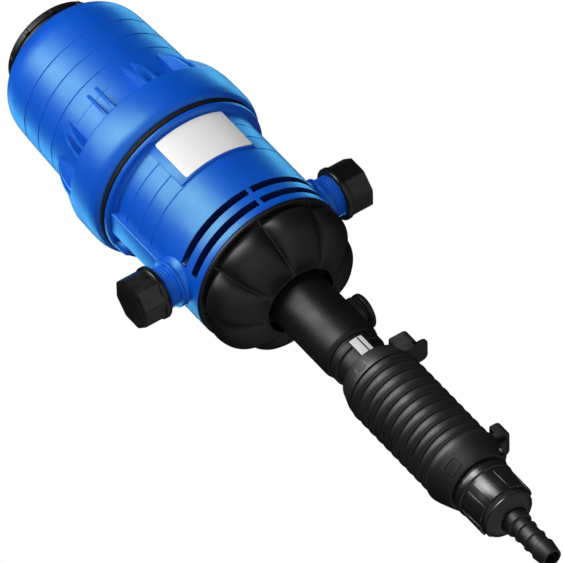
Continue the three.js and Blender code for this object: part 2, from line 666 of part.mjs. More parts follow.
function hoseBarb() {
  const flangeLow = nutBottom + nut.floor + GAP + gasket + GAP;
  const flangeTop = flangeLow + barb.flangeHeight;
  const upper = seatBottom - GAP;
  const neckEnd = nutBottom - barb.neckEnd;
  const tipStart = barbTip + barb.tipLength;
  const ridgePitch = (neckEnd - tipStart) / 3;
  const ridge = (z) => [[barb.root, z + 1], [barb.ridge, z + 0.2], [barb.ridge, z - 0.6],
    [barb.root, z - 1.2]];
  const outline = [
    [barb.bore, upper], [barb.neck - 0.5, upper], [barb.neck - 0.5, flangeTop], [barb.flange, flangeTop],
    [barb.flange, flangeLow], [barb.neck, flangeLow], [barb.neck, neckEnd],
    [barb.root, neckEnd - 0.8], ...ridge(neckEnd - ridgePitch * 0.9), ...ridge(neckEnd - ridgePitch * 2),
    [barb.root, tipStart + 1], [barb.ridge - 0.4, tipStart], [barb.tipRadius, barbTip + 0.5],
    [barb.tipRadius - 0.5, barbTip], [barb.bore, barbTip],
  ];
  return turned(outline);
}

// ---------------------------------------------------------------- motor cylinder, piston and plunger
function cylinderLiner() {
  return tube(linerRadius, linerRadius + motor.linerWall, body.lowTop + GAP, motor.linerTop);
}

function lowerCylinder() {
  const outer = guideRadius + motor.guideWall;
  const reach = body.lowBore - GAP;
  const flangeLow = motor.guideFlangeTop - motor.guideFlange;
  return turned([
    [guideRadius, motor.guideBottom], [outer, motor.guideBottom], [outer, flangeLow], [reach, flangeLow],
    [reach, motor.guideFlangeTop], [outer, motor.guideFlangeTop], [outer, motor.guideTop],
    [guideRadius, motor.guideTop]]);
}

function ringGroove(radius, middle, height, depth) {
  return tube(radius - depth, radius + 1, middle - height / 2 - GAP, middle + height / 2 + GAP);
}

function pistonRing(radius, middle, height, depth, clearance) {
  return tube(radius - depth + GAP, radius + clearance - 0.1, middle - height / 2, middle + height / 2);
}

function pistonCrown() {
  const middle = motor.crownAt + motor.crownHeight / 2;
  const hole = (side) => rod(valve.hole, motor.crownAt - 1, crownTop + 1).translate(side * valve.at, 0, 0);
  const guide = rod(toggle.rod + RUN, motor.crownAt - 1, crownTop + 1);
  return cut(rod(motor.crownRadius, motor.crownAt, crownTop, FINE), hole(1), hole(-1), guide,
    ringGroove(motor.crownRadius, middle, motor.sealHeight, motor.sealDepth));
}

function pistonSkirt() {
  const inner = motor.skirtRadius - motor.skirtWall;
  const top = motor.crownAt - GAP;
  const floor = motor.skirtBottom + motor.skirtFloor;
  const outline = [
    [plunger.rod + GAP, motor.skirtBottom], [motor.skirtRadius, motor.skirtBottom], [motor.skirtRadius, top],
    [inner, top], [inner, floor], [plunger.rod + GAP, floor],
  ];
  const reach = motor.skirtRadius + 1;
  const windowCut = block(
    -reach, reach, -motor.windowHalfWidth, motor.windowHalfWidth, motor.windowLow, motor.windowHigh);
  const sealAt = motor.skirtBottom + motor.skirtSeal;
  return cut(turned(outline), windowCut, ringGroove(motor.skirtRadius, sealAt, motor.sealHeight,
    motor.sealDepth));
}

function plungerRod() {
  const low = plunger.bottom + plunger.headHeight + GAP;
  const buttonLow = motor.skirtBottom + motor.skirtFloor + GAP;
  const button = plunger.rod + plunger.button;
  const top = buttonLow + plunger.buttonHeight;
  return turned([
    [0, low], [plunger.rod, low], [plunger.rod, buttonLow], [button, buttonLow], [button, top], [0, top]]);
}

function plungerHead() {
  const middle = plunger.bottom + plunger.headHeight / 2;
  return cut(rod(plunger.head, plunger.bottom, plunger.bottom + plunger.headHeight, FINE),
    ringGroove(plunger.head, middle, plunger.sealHeight, plunger.sealDepth));
}

// ---------------------------------------------------------------- toggle gear that shifts the valves
function toggleFrame() {
  const high = toggleBase + toggle.postHeight;
  const inner = toggle.postAt - toggle.postWidth / 2;
  const outer = toggle.postAt + toggle.postWidth / 2;
  const slab = (depth, z0, z1) => block(-outer, outer, -depth / 2, depth / 2, z0, z1);
  const pair = block(-outer, outer, -toggle.postDepth / 2, toggle.postDepth / 2, toggleBase, high);
  const between = block(-inner, inner, -toggle.base, toggle.base, toggleBase, high);
  const base = slab(toggle.base, toggleBase, toggleBase + toggle.bridgeHeight);
  const bridge = slab(toggle.bridge, high - toggle.bridgeHeight, high);
  const pinHole = towardsX(rod(toggle.pin + GAP, -outer - 1, outer + 1), 1).translate(0, 0, pinAt);
  const guide = rod(toggle.rod + RUN, toggleBase - 1, high + 1);
  return cut(join(cut(pair, between), base, bridge), pinHole, guide);
}

function togglePin(side) {
  const inner = toggle.postAt - toggle.postWidth / 2 - GAP - toggle.armWall - 1;
  const outer = toggle.postAt + toggle.postWidth / 2 + 1;
  return towardsX(rod(toggle.pin, inner, outer), side).translate(0, 0, pinAt);
}

function toggleArm() {
  const outer = toggle.postAt - toggle.postWidth / 2 - GAP;
  const inner = outer - toggle.armWall;
  const half = toggle.armHeight / 2;
  const plank = block(-outer, outer, -toggle.armBack, toggle.arm, pinAt - half, pinAt + half);
  const middle = block(-inner, inner, -toggle.armBack - 1, toggle.arm - toggle.armBack,
    pinAt - half - 1, pinAt + half + 1);
  const pinHole = towardsX(rod(toggle.pin + GAP, -outer - 1, outer + 1), 1).translate(0, 0, pinAt);
  return cut(plank, middle, pinHole);
}

function toggleSpring() {
  return spring(toggle.rod + 3, toggle.wire, springLow, springHigh, toggle.coils);
}

function tripRod() {
  const shaft = rod(toggle.rod, toggle.rodBottom, toggle.rodTop);
  const upperStop = rod(toggle.stop, springHigh + GAP, springHigh + GAP + toggle.stopHeight);
  const lowerStop = rod(toggle.stop, toggle.rodBottom, toggle.rodBottom + toggle.stopHeight);
  return join(shaft, upperStop, lowerStop);
}

function valveCarrier() {
  const low = toggleBase + valve.barLow;
  const high = low + valve.barHeight;
  const bar = block(-valve.barReach, valve.barReach, -valve.barHalfWidth, valve.barHalfWidth, low, high);
  const opening = block(
    -valve.windowReach, valve.windowReach, -valve.windowHalfWidth, valve.windowHalfWidth, low - 1, high + 1);
  const foot = (side) => rod(valve.foot, low - valve.footHeight, low + 1).translate(side * valve.at, 0, 0);
  return join(cut(bar, opening), foot(1), foot(-1));
}

function valvePad(side) {
  return rod(valve.radius, toggleBase, toggleBase + valve.padHeight, FINE).translate(side * valve.at, 0, 0);
}

// ---------------------------------------------------------------- finishes and the finished group
const finishes = {
  blue: { color: 0x0a55d8, roughness: 0.38, metalness: 0 },
  black: { color: 0x17181a, roughness: 0.5, metalness: 0 },
  rubber: { color: 0x0c0c0d, roughness: 0.8, metalness: 0 },
  white: { color: 0xf1f1f0, roughness: 0.45, metalness: 0 },
  clearGrey: { color: 0xb9bec2, roughness: 0.4, metalness: 0 },
  ivory: { color: 0xdedcd2, roughness: 0.5, metalness: 0 },
  steel: { color: 0xb7babd, roughness: 0.3, metalness: 1 },
};

const pump = new THREE.Group();

function add(name, finish, geometry) {
  const mesh = new THREE.Mesh(geometry, new THREE.MeshStandardMaterial(finishes[finish]));
  mesh.name = name;
  pump.add(mesh);
}

add('main_body', 'blue', mainBody());
add('label_plate', 'white', labelPlate());
add('inlet_cap', 'black', portCap(-1));
add('inlet_cap_washer', 'rubber', capWasher(-1));
add('outlet_cap', 'black', portCap(1));
add('outlet_cap_washer', 'rubber', capWasher(1));
add('bell_cover', 'blue', bellCover());
add('bell_seal', 'rubber', bellSeal());
add('top_cap', 'black', topCapPiece());
add('top_cap_seal', 'rubber', topCapSeal());
add('lower_housing', 'black', lowerHousing());
add('stem_tube', 'black', stemTube());
add('stem_seal', 'rubber', stemSeal());
add('scale_strip', 'white', scaleStrip());
add('side_plug', 'black', sidePlugPiece());
add('side_plug_seal', 'rubber', sidePlugSeal());
add('lock_collar', 'black', lockCollar());
add('lock_tab', 'black', lockTab());
add('grip_sleeve', 'black', gripSleeve());
add('clamp_collar', 'black', clampCollar());
add('clamp_screw', 'steel', clampScrew());
add('dosing_cylinder', 'black', dosingCylinder());
add('dosing_seal', 'rubber', dosingSeal());
add('clamp_nut', 'black', clampNut());
add('nut_gasket', 'rubber', nutGasket());
add('hose_barb', 'black', hoseBarb());
add('check_seat', 'rubber', checkSeat());
add('check_poppet', 'ivory', checkPoppet());
add('check_spring', 'steel', checkSpring());
add('check_cage', 'ivory', checkCage());
add('cylinder_liner', 'clearGrey', cylinderLiner());
add('lower_cylinder', 'clearGrey', lowerCylinder());
add('piston_crown', 'ivory', pistonCrown());
add('piston_seal', 'rubber', pistonRing(
  motor.crownRadius, motor.crownAt + motor.crownHeight / 2, motor.sealHeight, motor.sealDepth, RUN));
add('piston_skirt', 'ivory', pistonSkirt());
add('skirt_seal', 'rubber', pistonRing(
  motor.skirtRadius, motor.skirtBottom + motor.skirtSeal, motor.sealHeight, motor.sealDepth, RUN));
add('plunger_rod', 'ivory', plungerRod());
add('plunger_head', 'ivory', plungerHead());
add('plunger_seal', 'rubber', pistonRing(
  plunger.head, plunger.bottom + plunger.headHeight / 2, plunger.sealHeight, plunger.sealDepth,
  dosing.inner - plunger.head));
add('toggle_frame', 'ivory', toggleFrame());
add('toggle_pin_left', 'steel', togglePin(-1));
add('toggle_pin_right', 'steel', togglePin(1));
add('toggle_arm', 'steel', toggleArm());
add('toggle_spring', 'steel', toggleSpring());
add('trip_rod', 'steel', tripRod());
add('valve_carrier', 'ivory', valveCarrier());
add('valve_pad_left', 'rubber', valvePad(-1));
add('valve_pad_right', 'rubber', valvePad(1));

export default pump;
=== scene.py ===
# %% [markdown]
# # A water-driven dosing pump
#
# The pump hangs from two pipe ports. A blue bell covers the piston motor, a black lobed housing
# closes the body from below, and a long black stem carries the setting sleeve, a clamp nut and a
# hose barb. The CAD frame is loaded first: it fixes where everything is. Each visible node is then
# replaced by a finer mesh of the same size, and the inner nodes keep their shape and get finishes.

# %% Load the frame
import json
import math

import bmesh
import bpy
from mathutils import Matrix, Vector


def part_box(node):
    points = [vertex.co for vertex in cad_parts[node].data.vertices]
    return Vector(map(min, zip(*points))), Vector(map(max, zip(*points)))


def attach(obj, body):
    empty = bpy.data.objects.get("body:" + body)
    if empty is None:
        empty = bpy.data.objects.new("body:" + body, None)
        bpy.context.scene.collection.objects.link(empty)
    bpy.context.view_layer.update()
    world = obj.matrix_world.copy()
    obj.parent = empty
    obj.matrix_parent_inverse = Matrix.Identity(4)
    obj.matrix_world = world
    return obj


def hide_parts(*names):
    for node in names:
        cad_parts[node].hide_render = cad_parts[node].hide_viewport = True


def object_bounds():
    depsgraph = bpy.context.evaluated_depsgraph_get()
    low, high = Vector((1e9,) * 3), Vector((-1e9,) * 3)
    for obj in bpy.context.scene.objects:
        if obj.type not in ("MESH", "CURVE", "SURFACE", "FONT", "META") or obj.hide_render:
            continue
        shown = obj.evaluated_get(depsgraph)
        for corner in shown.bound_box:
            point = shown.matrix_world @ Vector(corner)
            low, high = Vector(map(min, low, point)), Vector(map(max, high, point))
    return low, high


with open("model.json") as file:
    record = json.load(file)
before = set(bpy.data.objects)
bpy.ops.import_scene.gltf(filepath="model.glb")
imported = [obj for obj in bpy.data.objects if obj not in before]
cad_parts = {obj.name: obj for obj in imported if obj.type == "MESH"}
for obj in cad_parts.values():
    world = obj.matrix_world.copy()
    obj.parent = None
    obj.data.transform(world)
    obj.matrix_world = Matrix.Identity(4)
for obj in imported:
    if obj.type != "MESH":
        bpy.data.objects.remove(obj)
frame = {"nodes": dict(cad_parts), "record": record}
cad_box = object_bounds()
MM = 0.001


def low(node):
    """The lowest height of a CAD node, in millimetres."""
    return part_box(node)[0].z / MM


def high(node):
    """The highest height of a CAD node, in millimetres."""
    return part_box(node)[1].z / MM


print("CAD nodes:", len(frame["nodes"]), " box:", [round(v, 3) for v in (*cad_box[0], *cad_box[1])])

# %% [markdown]
# ## Helpers for turned, pressed and carved shapes
#
# Nearly every part of a pump like this is turned about one axis, so its mesh is one outline spun
# round. A corner of an outline may ask for a rounding, which a vertex bevel makes before the spin:
# that is cheaper and smoother than bevelling the finished surface. Slots and pockets are carved
# with an exact boolean, because they run only part of the way round. All lengths are millimetres.

# %% Spin an outline
STEPS = 144


def turned(outline, steps=STEPS):
    """A solid of revolution about Z. Each corner is (radius, height) or (radius, height, rounding)."""
    bm = bmesh.new()
    corners = [bm.verts.new((c[0], 0, c[1])) for c in outline]
    closed = outline[0][0] > 0 or outline[-1][0] > 0
    ends = corners[1:] + corners[:1] if closed else corners[1:]
    for a, b in zip(corners, ends):
        bm.edges.new((a, b))
    for size in sorted({c[2] for c in outline if len(c) > 2}):
        sharp = [v for v, c in zip(corners, outline) if len(c) > 2 and c[2] == size]
        bmesh.ops.bevel(bm, geom=sharp, offset=size, offset_type="OFFSET", segments=4,
                        profile=0.5, affect="VERTICES", material=-1)
    profile = bm.verts[:] + bm.edges[:]
    bmesh.ops.spin(bm, geom=profile, cent=(0, 0, 0), axis=(0, 0, 1), angle=math.tau,
                   steps=steps, use_merge=True)
    bmesh.ops.remove_doubles(bm, verts=bm.verts, dist=0.0005)
    bmesh.ops.recalc_face_normals(bm, faces=bm.faces)
    return bm


def ring(inner, outer, bottom, top, rounding=0.3, steps=STEPS):
    """A plain ring with rounded corners."""
    return turned([(inner, bottom, rounding), (outer, bottom, rounding), (outer, top, rounding),
                   (inner, top, rounding)], steps)


def disc(radius, bottom, top, steps=48):
    """A plain round bar, used as a cutter or a pin."""
    return turned([(0, bottom), (radius, bottom), (radius, top), (0, top)], steps)


bar = turned([(0, 0), (10, 0, 2), (10, 5), (0, 5)], 24)
print("test bar:", len(bar.faces), "faces, closed:", all(e.is_manifold for e in bar.edges))
bar.free()

# %% Arcs, blocks and plates


def sector(inner, outer, bottom, top, middle, arc, steps=40):
    """The part of a ring that spans an arc about a middle angle, both in degrees."""
    bm = bmesh.new()
    section = [(inner, 0, bottom), (outer, 0, bottom), (outer, 0, top), (inner, 0, top)]
    bm.faces.new([bm.verts.new(corner) for corner in section])
    start = Matrix.Rotation(math.radians(middle - arc / 2), 3, "Z")
    bmesh.ops.rotate(bm, cent=(0, 0, 0), matrix=start, verts=bm.verts)
    bmesh.ops.spin(bm, geom=bm.faces[:] + bm.edges[:] + bm.verts[:], cent=(0, 0, 0), axis=(0, 0, 1),
                   angle=math.radians(arc), steps=steps)
    bmesh.ops.recalc_face_normals(bm, faces=bm.faces)
    return bm


def block(x, y, z):
    """A box from its three (low, high) ranges."""
    bm = bmesh.new()
    bmesh.ops.create_cube(bm, size=1)
    bmesh.ops.scale(bm, vec=(x[1] - x[0], y[1] - y[0], z[1] - z[0]), verts=bm.verts)
    bmesh.ops.translate(bm, vec=(sum(x) / 2, sum(y) / 2, sum(z) / 2), verts=bm.verts)
    return bm


def soften(bm, size, segments=3, along=None):
    """Bevels every edge, or only those that run along one axis."""
    edges = bm.edges[:]
    if along is not None:
        edges = [e for e in edges if abs((e.verts[1].co - e.verts[0].co).normalized()[along]) > 0.9]
    bmesh.ops.bevel(bm, geom=edges, offset=size, offset_type="OFFSET", segments=segments,
                    profile=0.5, affect="EDGES", material=-1)
    return bm


def prism(points, thickness):
    """A flat shape given in X and Z, pressed to a thickness along Y and centred on it."""
    bm = bmesh.new()
    face = bm.faces.new([bm.verts.new((x, -thickness / 2, z)) for x, z in points])
    grown = bmesh.ops.extrude_face_region(bm, geom=[face])["geom"]
    far_side = [g for g in grown if isinstance(g, bmesh.types.BMVert)]
    bmesh.ops.translate(bm, vec=(0, thickness, 0), verts=far_side)
    bmesh.ops.recalc_face_normals(bm, faces=bm.faces)
    return bm


def turn(bm, degrees, axis="Z"):
    """Turns a mesh about an axis through the origin."""
    matrix = Matrix.Rotation(math.radians(degrees), 3, axis)
    bmesh.ops.rotate(bm, cent=(0, 0, 0), matrix=matrix, verts=bm.verts)
    return bm


def shift(bm, x=0, y=0, z=0):
    """Moves a mesh."""
    bmesh.ops.translate(bm, vec=(x, y, z), verts=bm.verts)
    return bm


def towards_x(bm, side):
    """Lays a mesh that was made along +Z along +X (side 1) or -X (side -1)."""
    return turn(bm, 90 * side, "Y")


def soften_outer_corners(bm, reach, size, segments):
    """Rounds the upright edges of a block at its far end along X."""
    outer = [e for e in bm.edges if all(abs(v.co.x - reach) < 1e-4 for v in e.verts)
             and abs(e.verts[0].co.z - e.verts[1].co.z) > 1]
    bmesh.ops.bevel(bm, geom=outer, offset=size, offset_type="OFFSET", segments=segments,
                    profile=0.5, affect="EDGES", material=-1)
    return bm


# %% Join, carve and finish


def gather(first, *others):
    """One mesh that holds several closed shells."""
    for other in others:
        carrier = bpy.data.meshes.new("carrier")
        other.to_mesh(carrier)
        first.from_mesh(carrier)
        other.free()
        bpy.data.meshes.remove(carrier)
    return first


def as_object(bm, name):
    """A plain object that holds a mesh."""
    mesh = bpy.data.meshes.new(name)
    bm.to_mesh(mesh)
    bm.free()
    holder = bpy.data.objects.new(name, mesh)
    bpy.context.scene.collection.objects.link(holder)
    return holder


def combine(stock, tools, operation):
    """An exact boolean of one mesh with several others, one after the other."""
    holder = as_object(stock, "stock")
    cutters = [as_object(tool, "cutter") for tool in tools]
    for cutter in cutters:
        step = holder.modifiers.new("carve", "BOOLEAN")
        step.operation, step.solver, step.object = operation, "EXACT", cutter
    evaluated = holder.evaluated_get(bpy.context.evaluated_depsgraph_get())
    result = bmesh.new()
    result.from_mesh(evaluated.to_mesh())
    evaluated.to_mesh_clear()
    for scrap in [holder, *cutters]:
        bpy.data.objects.remove(scrap)
    return result


def carve(stock, *tools):
    """Cuts the tools out of the stock."""
    return combine(stock, tools, "DIFFERENCE")


def weld(stock, *others):
    """Joins solids into one skin."""
    return combine(stock, others, "UNION")


def piece(name, bm, finish, body, node, edge=0.25, sharp=32):
    """Scales a mesh to metres, gives it its finish and sets it on its body in place of its CAD node."""
    bmesh.ops.scale(bm, vec=(MM, MM, MM), verts=bm.verts)
    mesh = bpy.data.meshes.new(name)
    bm.to_mesh(mesh)
    bm.free()
    mesh.shade_smooth()
    mesh.set_sharp_from_angle(angle=math.radians(sharp))
    mesh.materials.append(finish)
    made = bpy.data.objects.new(name, mesh)
    bpy.context.scene.collection.objects.link(made)
    if edge:
        corner = made.modifiers.new("edge", "BEVEL")
        corner.width, corner.segments, corner.profile = edge * MM, 2, 0.5
        corner.limit_method, corner.angle_limit = "ANGLE", math.radians(sharp)
        corner.harden_normals = True
    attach(made, body)
    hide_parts(node)
    print(f"{name}: {len(mesh.polygons)} faces")
    return made


# %% [markdown]
# ## Shared surface effects
#
# Two effects turn up in several finishes. The first is the skin of moulded plastic: a very fine
# grain, slight clouds in the gloss and a trace of flow in the colour. The second lightens the
# outer corners of a part: partly wear, partly a painted highlight where rounded edges catch the
# light. Each is one node group, placed in each material with its own values.

# %% Node group: moulded skin


def group(name, inputs, outputs):
    """An empty node group with float or colour sockets."""
    tree = bpy.data.node_groups.new(name, "ShaderNodeTree")
    kinds = {"float": "NodeSocketFloat", "colour": "NodeSocketColor"}
    for label, kind, value in inputs:
        socket = tree.interface.new_socket(name=label, in_out="INPUT", socket_type=kinds[kind])
        socket.default_value = value
    for label, kind in outputs:
        tree.interface.new_socket(name=label, in_out="OUTPUT", socket_type=kinds[kind])
    return tree, tree.nodes.new("NodeGroupInput"), tree.nodes.new("NodeGroupOutput")


def noise(tree, scale, detail, vector=None):
    """A noise texture."""
    node = tree.nodes.new("ShaderNodeTexNoise")
    node.inputs["Scale"].default_value = scale
    node.inputs["Detail"].default_value = detail
    if vector is not None:
        tree.links.new(vector, node.inputs["Vector"])
    return node


def ramp(tree, source, from_low, from_high, to_low, to_high):
    """Maps one range of values onto another."""
    node = tree.nodes.new("ShaderNodeMapRange")
    tree.links.new(source, node.inputs["Value"])
    node.inputs["From Min"].default_value, node.inputs["From Max"].default_value = from_low, from_high
    for label, value in [("To Min", to_low), ("To Max", to_high)]:
        if isinstance(value, (int, float)):
            node.inputs[label].default_value = value
        else:
            tree.links.new(value, node.inputs[label])
    return node.outputs["Result"]


skin, skin_in, skin_out = group(
    "moulded_skin",
    [("Colour", "colour", (0.5, 0.5, 0.5, 1)), ("Flow", "colour", (0.5, 0.5, 0.5, 1)),
     ("Smooth", "float", 0.3), ("Rough", "float", 0.4), ("Grain", "float", 1.0)],
    [("Colour", "colour"), ("Roughness", "float"), ("Height", "float")])
where = skin.nodes.new("ShaderNodeTexCoord").outputs["Object"]
clouds = noise(skin, 28, 3, where)
blend = skin.nodes.new("ShaderNodeMix")
blend.data_type = "RGBA"
skin.links.new(ramp(skin, clouds.outputs["Fac"], 0.35, 0.65, 0.0, 1.0), blend.inputs["Factor"])
skin.links.new(skin_in.outputs["Colour"], blend.inputs["A"])
skin.links.new(skin_in.outputs["Flow"], blend.inputs["B"])
skin.links.new(blend.outputs["Result"], skin_out.inputs["Colour"])
patches = noise(skin, 90, 4, where)
gloss = ramp(skin, patches.outputs["Fac"], 0.3, 0.7,
             skin_in.outputs["Smooth"], skin_in.outputs["Rough"])
skin.links.new(gloss, skin_out.inputs["Roughness"])
grain = noise(skin, 1800, 2, where)
strength = skin.nodes.new("ShaderNodeMath")
strength.operation = "MULTIPLY"
skin.links.new(grain.outputs["Fac"], strength.inputs[0])
skin.links.new(skin_in.outputs["Grain"], strength.inputs[1])
skin.links.new(strength.outputs["Value"], skin_out.inputs["Height"])
print("moulded_skin:", len(skin.nodes), "nodes")

# %% Node group: edge wear and painted edge highlight
wear_and_highlight, wear_and_highlight_in, wear_and_highlight_out = group(
    "edge_wear_and_highlight",
    [("Colour", "colour", (0.5, 0.5, 0.5, 1)), ("Worn and lit", "colour", (0.8, 0.8, 0.8, 1)),
     ("Amount", "float", 0.4)],
    [("Colour", "colour"), ("Mask", "float")])
shape = wear_and_highlight.nodes.new("ShaderNodeNewGeometry")
breakup_noise = noise(wear_and_highlight, 160, 5, wear_and_highlight.nodes.new("ShaderNodeTexCoord").outputs["Object"])
# Convex corners, found by pointiness, are lightened: partly wear, partly a painted highlight along rounded
# edges.
edges = ramp(wear_and_highlight, shape.outputs["Pointiness"], 0.52, 0.62, 0.0, 1.0)
broken_up_mask = ramp(wear_and_highlight, breakup_noise.outputs["Fac"], 0.35, 0.6, 0.25, 1.0)
both = wear_and_highlight.nodes.new("ShaderNodeMath")
both.operation = "MULTIPLY"
wear_and_highlight.links.new(edges, both.inputs[0])
wear_and_highlight.links.new(broken_up_mask, both.inputs[1])
mask = wear_and_highlight.nodes.new("ShaderNodeMath")
mask.operation = "MULTIPLY"
wear_and_highlight.links.new(both.outputs["Value"], mask.inputs[0])
wear_and_highlight.links.new(wear_and_highlight_in.outputs["Amount"], mask.inputs[1])
tint = wear_and_highlight.nodes.new("ShaderNodeMix")
tint.data_type = "RGBA"
wear_and_highlight.links.new(mask.outputs["Value"], tint.inputs["Factor"])
wear_and_highlight.links.new(wear_and_highlight_in.outputs["Colour"], tint.inputs["A"])
wear_and_highlight.links.new(wear_and_highlight_in.outputs["Worn and lit"], tint.inputs["B"])
wear_and_highlight.links.new(tint.outputs["Result"], wear_and_highlight_out.inputs["Colour"])
wear_and_highlight.links.new(mask.outputs["Value"], wear_and_highlight_out.inputs["Mask"])
print("edge_wear_and_highlight:", len(wear_and_highlight.nodes), "nodes")

# %% [markdown]
# ## Finishes
#
# The blue parts are satin engineering plastic, the black parts are glass-filled nylon with a duller
# skin, and the seals are matt rubber. All of them share the moulded skin and differ in their
# values, so one function makes them. The port caps and the nut come from a smoother mould. Steel
# gets fine brushing along its length instead of a moulded skin.

# %% Make the moulded finishes


def moulded(name, colour, flow, worn_and_lit, smooth, rough, grain_depth, wear_and_highlight_amount, bump,
            specular=0.5, tint=(1, 1, 1)):
    """A moulded material: skin, then edge wear and painted edge highlight, then the Principled shader."""
    finish = bpy.data.materials.new(name)
    finish.use_nodes = True
    tree = finish.node_tree
    shader = tree.nodes["Principled BSDF"]
    body = tree.nodes.new("ShaderNodeGroup")
    body.node_tree = skin
    body.inputs["Colour"].default_value = (*colour, 1)
    body.inputs["Flow"].default_value = (*flow, 1)
    body.inputs["Smooth"].default_value = smooth
    body.inputs["Rough"].default_value = rough
    body.inputs["Grain"].default_value = grain_depth
    edge = tree.nodes.new("ShaderNodeGroup")
    edge.node_tree = wear_and_highlight
    edge.inputs["Worn and lit"].default_value = (*worn_and_lit, 1)
    edge.inputs["Amount"].default_value = wear_and_highlight_amount
    tree.links.new(body.outputs["Colour"], edge.inputs["Colour"])
    tree.links.new(edge.outputs["Colour"], shader.inputs["Base Color"])
    tree.links.new(body.outputs["Roughness"], shader.inputs["Roughness"])
    relief = tree.nodes.new("ShaderNodeBump")
    relief.inputs["Strength"].default_value = bump
    relief.inputs["Distance"].default_value = 0.00005
    tree.links.new(body.outputs["Height"], relief.inputs["Height"])
    tree.links.new(relief.outputs["Normal"], shader.inputs["Normal"])
    shader.inputs["Specular IOR Level"].default_value = specular
    shader.inputs["Specular Tint"].default_value = (*tint, 1)
    return finish


# The lighter edge colour of each finish is partly wear and partly a painted edge highlight.
blue = moulded("blue_satin", (0.001, 0.100, 0.69), (0.001, 0.090, 0.64), (0.05, 0.30, 0.85),
               0.36, 0.44, 1.0, 0.35, 0.25, specular=1.0, tint=(0.42, 1.0, 0.62))
black = moulded("black_nylon", (0.005, 0.005, 0.005), (0.007, 0.007, 0.007), (0.04, 0.04, 0.04),
                0.40, 0.5, 1.0, 0.4, 0.5, specular=0.45)
polished = moulded("polished_black_nylon", (0.005, 0.005, 0.005), (0.006, 0.006, 0.006),
                   (0.04, 0.04, 0.04), 0.24, 0.32, 1.0, 0.4, 0.3, specular=0.6)
rubber = moulded("black_rubber", (0.004, 0.004, 0.004), (0.006, 0.006, 0.006), (0.02, 0.02, 0.02),
                 0.62, 0.75, 1.0, 0.2, 0.6, specular=0.3)
# A darker blue that paints the shade deep inside the body's slots.
painted_slot_shade = moulded("painted_shade_in_the_slots", (0.0012, 0.016, 0.13), (0.001, 0.012, 0.10),
                     (0.01, 0.05, 0.2), 0.5, 0.6, 1.0, 0.0, 0.25, specular=0.4)
label_stock = moulded("label_stock", (0.86, 0.86, 0.85), (0.82, 0.82, 0.81), (0.9, 0.9, 0.9),
                      0.35, 0.45, 0.4, 0.0, 0.15)
scale_stock = moulded("scale_stock", (0.9, 0.9, 0.89), (0.86, 0.86, 0.85), (0.9, 0.9, 0.9),
                      0.3, 0.4, 0.4, 0.0, 0.15)
ivory = moulded("ivory_acetal", (0.72, 0.69, 0.60), (0.66, 0.63, 0.54), (0.85, 0.84, 0.8),
                0.35, 0.48, 1.0, 0.2, 0.3)
grey = moulded("grey_cylinder", (0.42, 0.45, 0.47), (0.38, 0.41, 0.43), (0.6, 0.62, 0.63),
               0.25, 0.35, 0.6, 0.2, 0.2)
print("moulded finishes:", len(bpy.data.materials))

# %% Make the brushed steel
steel = bpy.data.materials.new("brushed_steel")
steel.use_nodes = True
steel_tree = steel.node_tree
steel_shader = steel_tree.nodes["Principled BSDF"]
steel_shader.inputs["Metallic"].default_value = 1.0
stretch = steel_tree.nodes.new("ShaderNodeMapping")
stretch.inputs["Scale"].default_value = (1, 1, 0.04)
steel_tree.links.new(steel_tree.nodes.new("ShaderNodeTexCoord").outputs["Object"], stretch.inputs["Vector"])
brushing = noise(steel_tree, 2600, 3, stretch.outputs["Vector"])
steel_gloss = ramp(steel_tree, brushing.outputs["Fac"], 0.3, 0.7, 0.22, 0.42)
steel_tree.links.new(steel_gloss, steel_shader.inputs["Roughness"])
steel_tone = steel_tree.nodes.new("ShaderNodeMix")
steel_tone.data_type = "RGBA"
steel_tone.inputs["A"].default_value = (0.52, 0.53, 0.54, 1)
steel_tone.inputs["B"].default_value = (0.68, 0.69, 0.70, 1)
steel_tree.links.new(brushing.outputs["Fac"], steel_tone.inputs["Factor"])
steel_tree.links.new(steel_tone.outputs["Result"], steel_shader.inputs["Base Color"])
print("steel:", len(steel_tree.nodes), "nodes")

# %% [markdown]
# ## The bell cover
#
# The bell is a deep blue cup that screws down over the body. Its wall narrows a little upwards and
# carries four fine grooves, the lowest one very shallow. Pairs of curved webs brace it against the
# collar. A web is a flat pressing with a curved outer edge, copied round the axis and sunk a
# little into the wall, so that no gap shows between the two.

# %% Bell wall and collar
bell_low, bell_high = low("bell_cover"), high("bell_cover")
COLLAR_TOP = bell_low + 26.5
WALL, MOUTH, BELL_BORE = 3.0, 30, 47.6


def groove(radius, height, width=0.9, depth=0.5):
    """The three corners of a fine V groove in a wall."""
    return [(radius, height + width / 2), (radius - depth, height), (radius, height - width / 2)]


bell_outline = [
    (MOUTH, bell_high, 0.4), (40.0, bell_high, 0.8), (43.2, bell_high - 3.4, 2),
    (45.9, bell_high - 7.6, 2.4), (47.6, bell_high - 12.6, 3), (48.3, bell_high - 19, 3),
    *groove(48.9, bell_low + 87.2), *groove(49.6, bell_low + 72.5), *groove(50.2, bell_low + 58.2),
    *groove(50.6, bell_low + 45, 0.5, 0.2),
    (50.8, COLLAR_TOP, 1.4), (59.7, COLLAR_TOP, 1.3), (60.2, bell_low + 12, 2),
    (60.0, bell_low + 5, 2.5), (58.4, bell_low + 1.2, 1.5), (56.6, bell_low, 0.4),
    (BELL_BORE, bell_low, 0.4), (BELL_BORE, COLLAR_TOP, 1),
    (45.3, bell_high - 14, 2), (37, bell_high - WALL, 2), (MOUTH, bell_high - WALL, 0.4),
]
bell = turned(bell_outline, 192)
print("bell wall:", len(bell.faces), "faces")

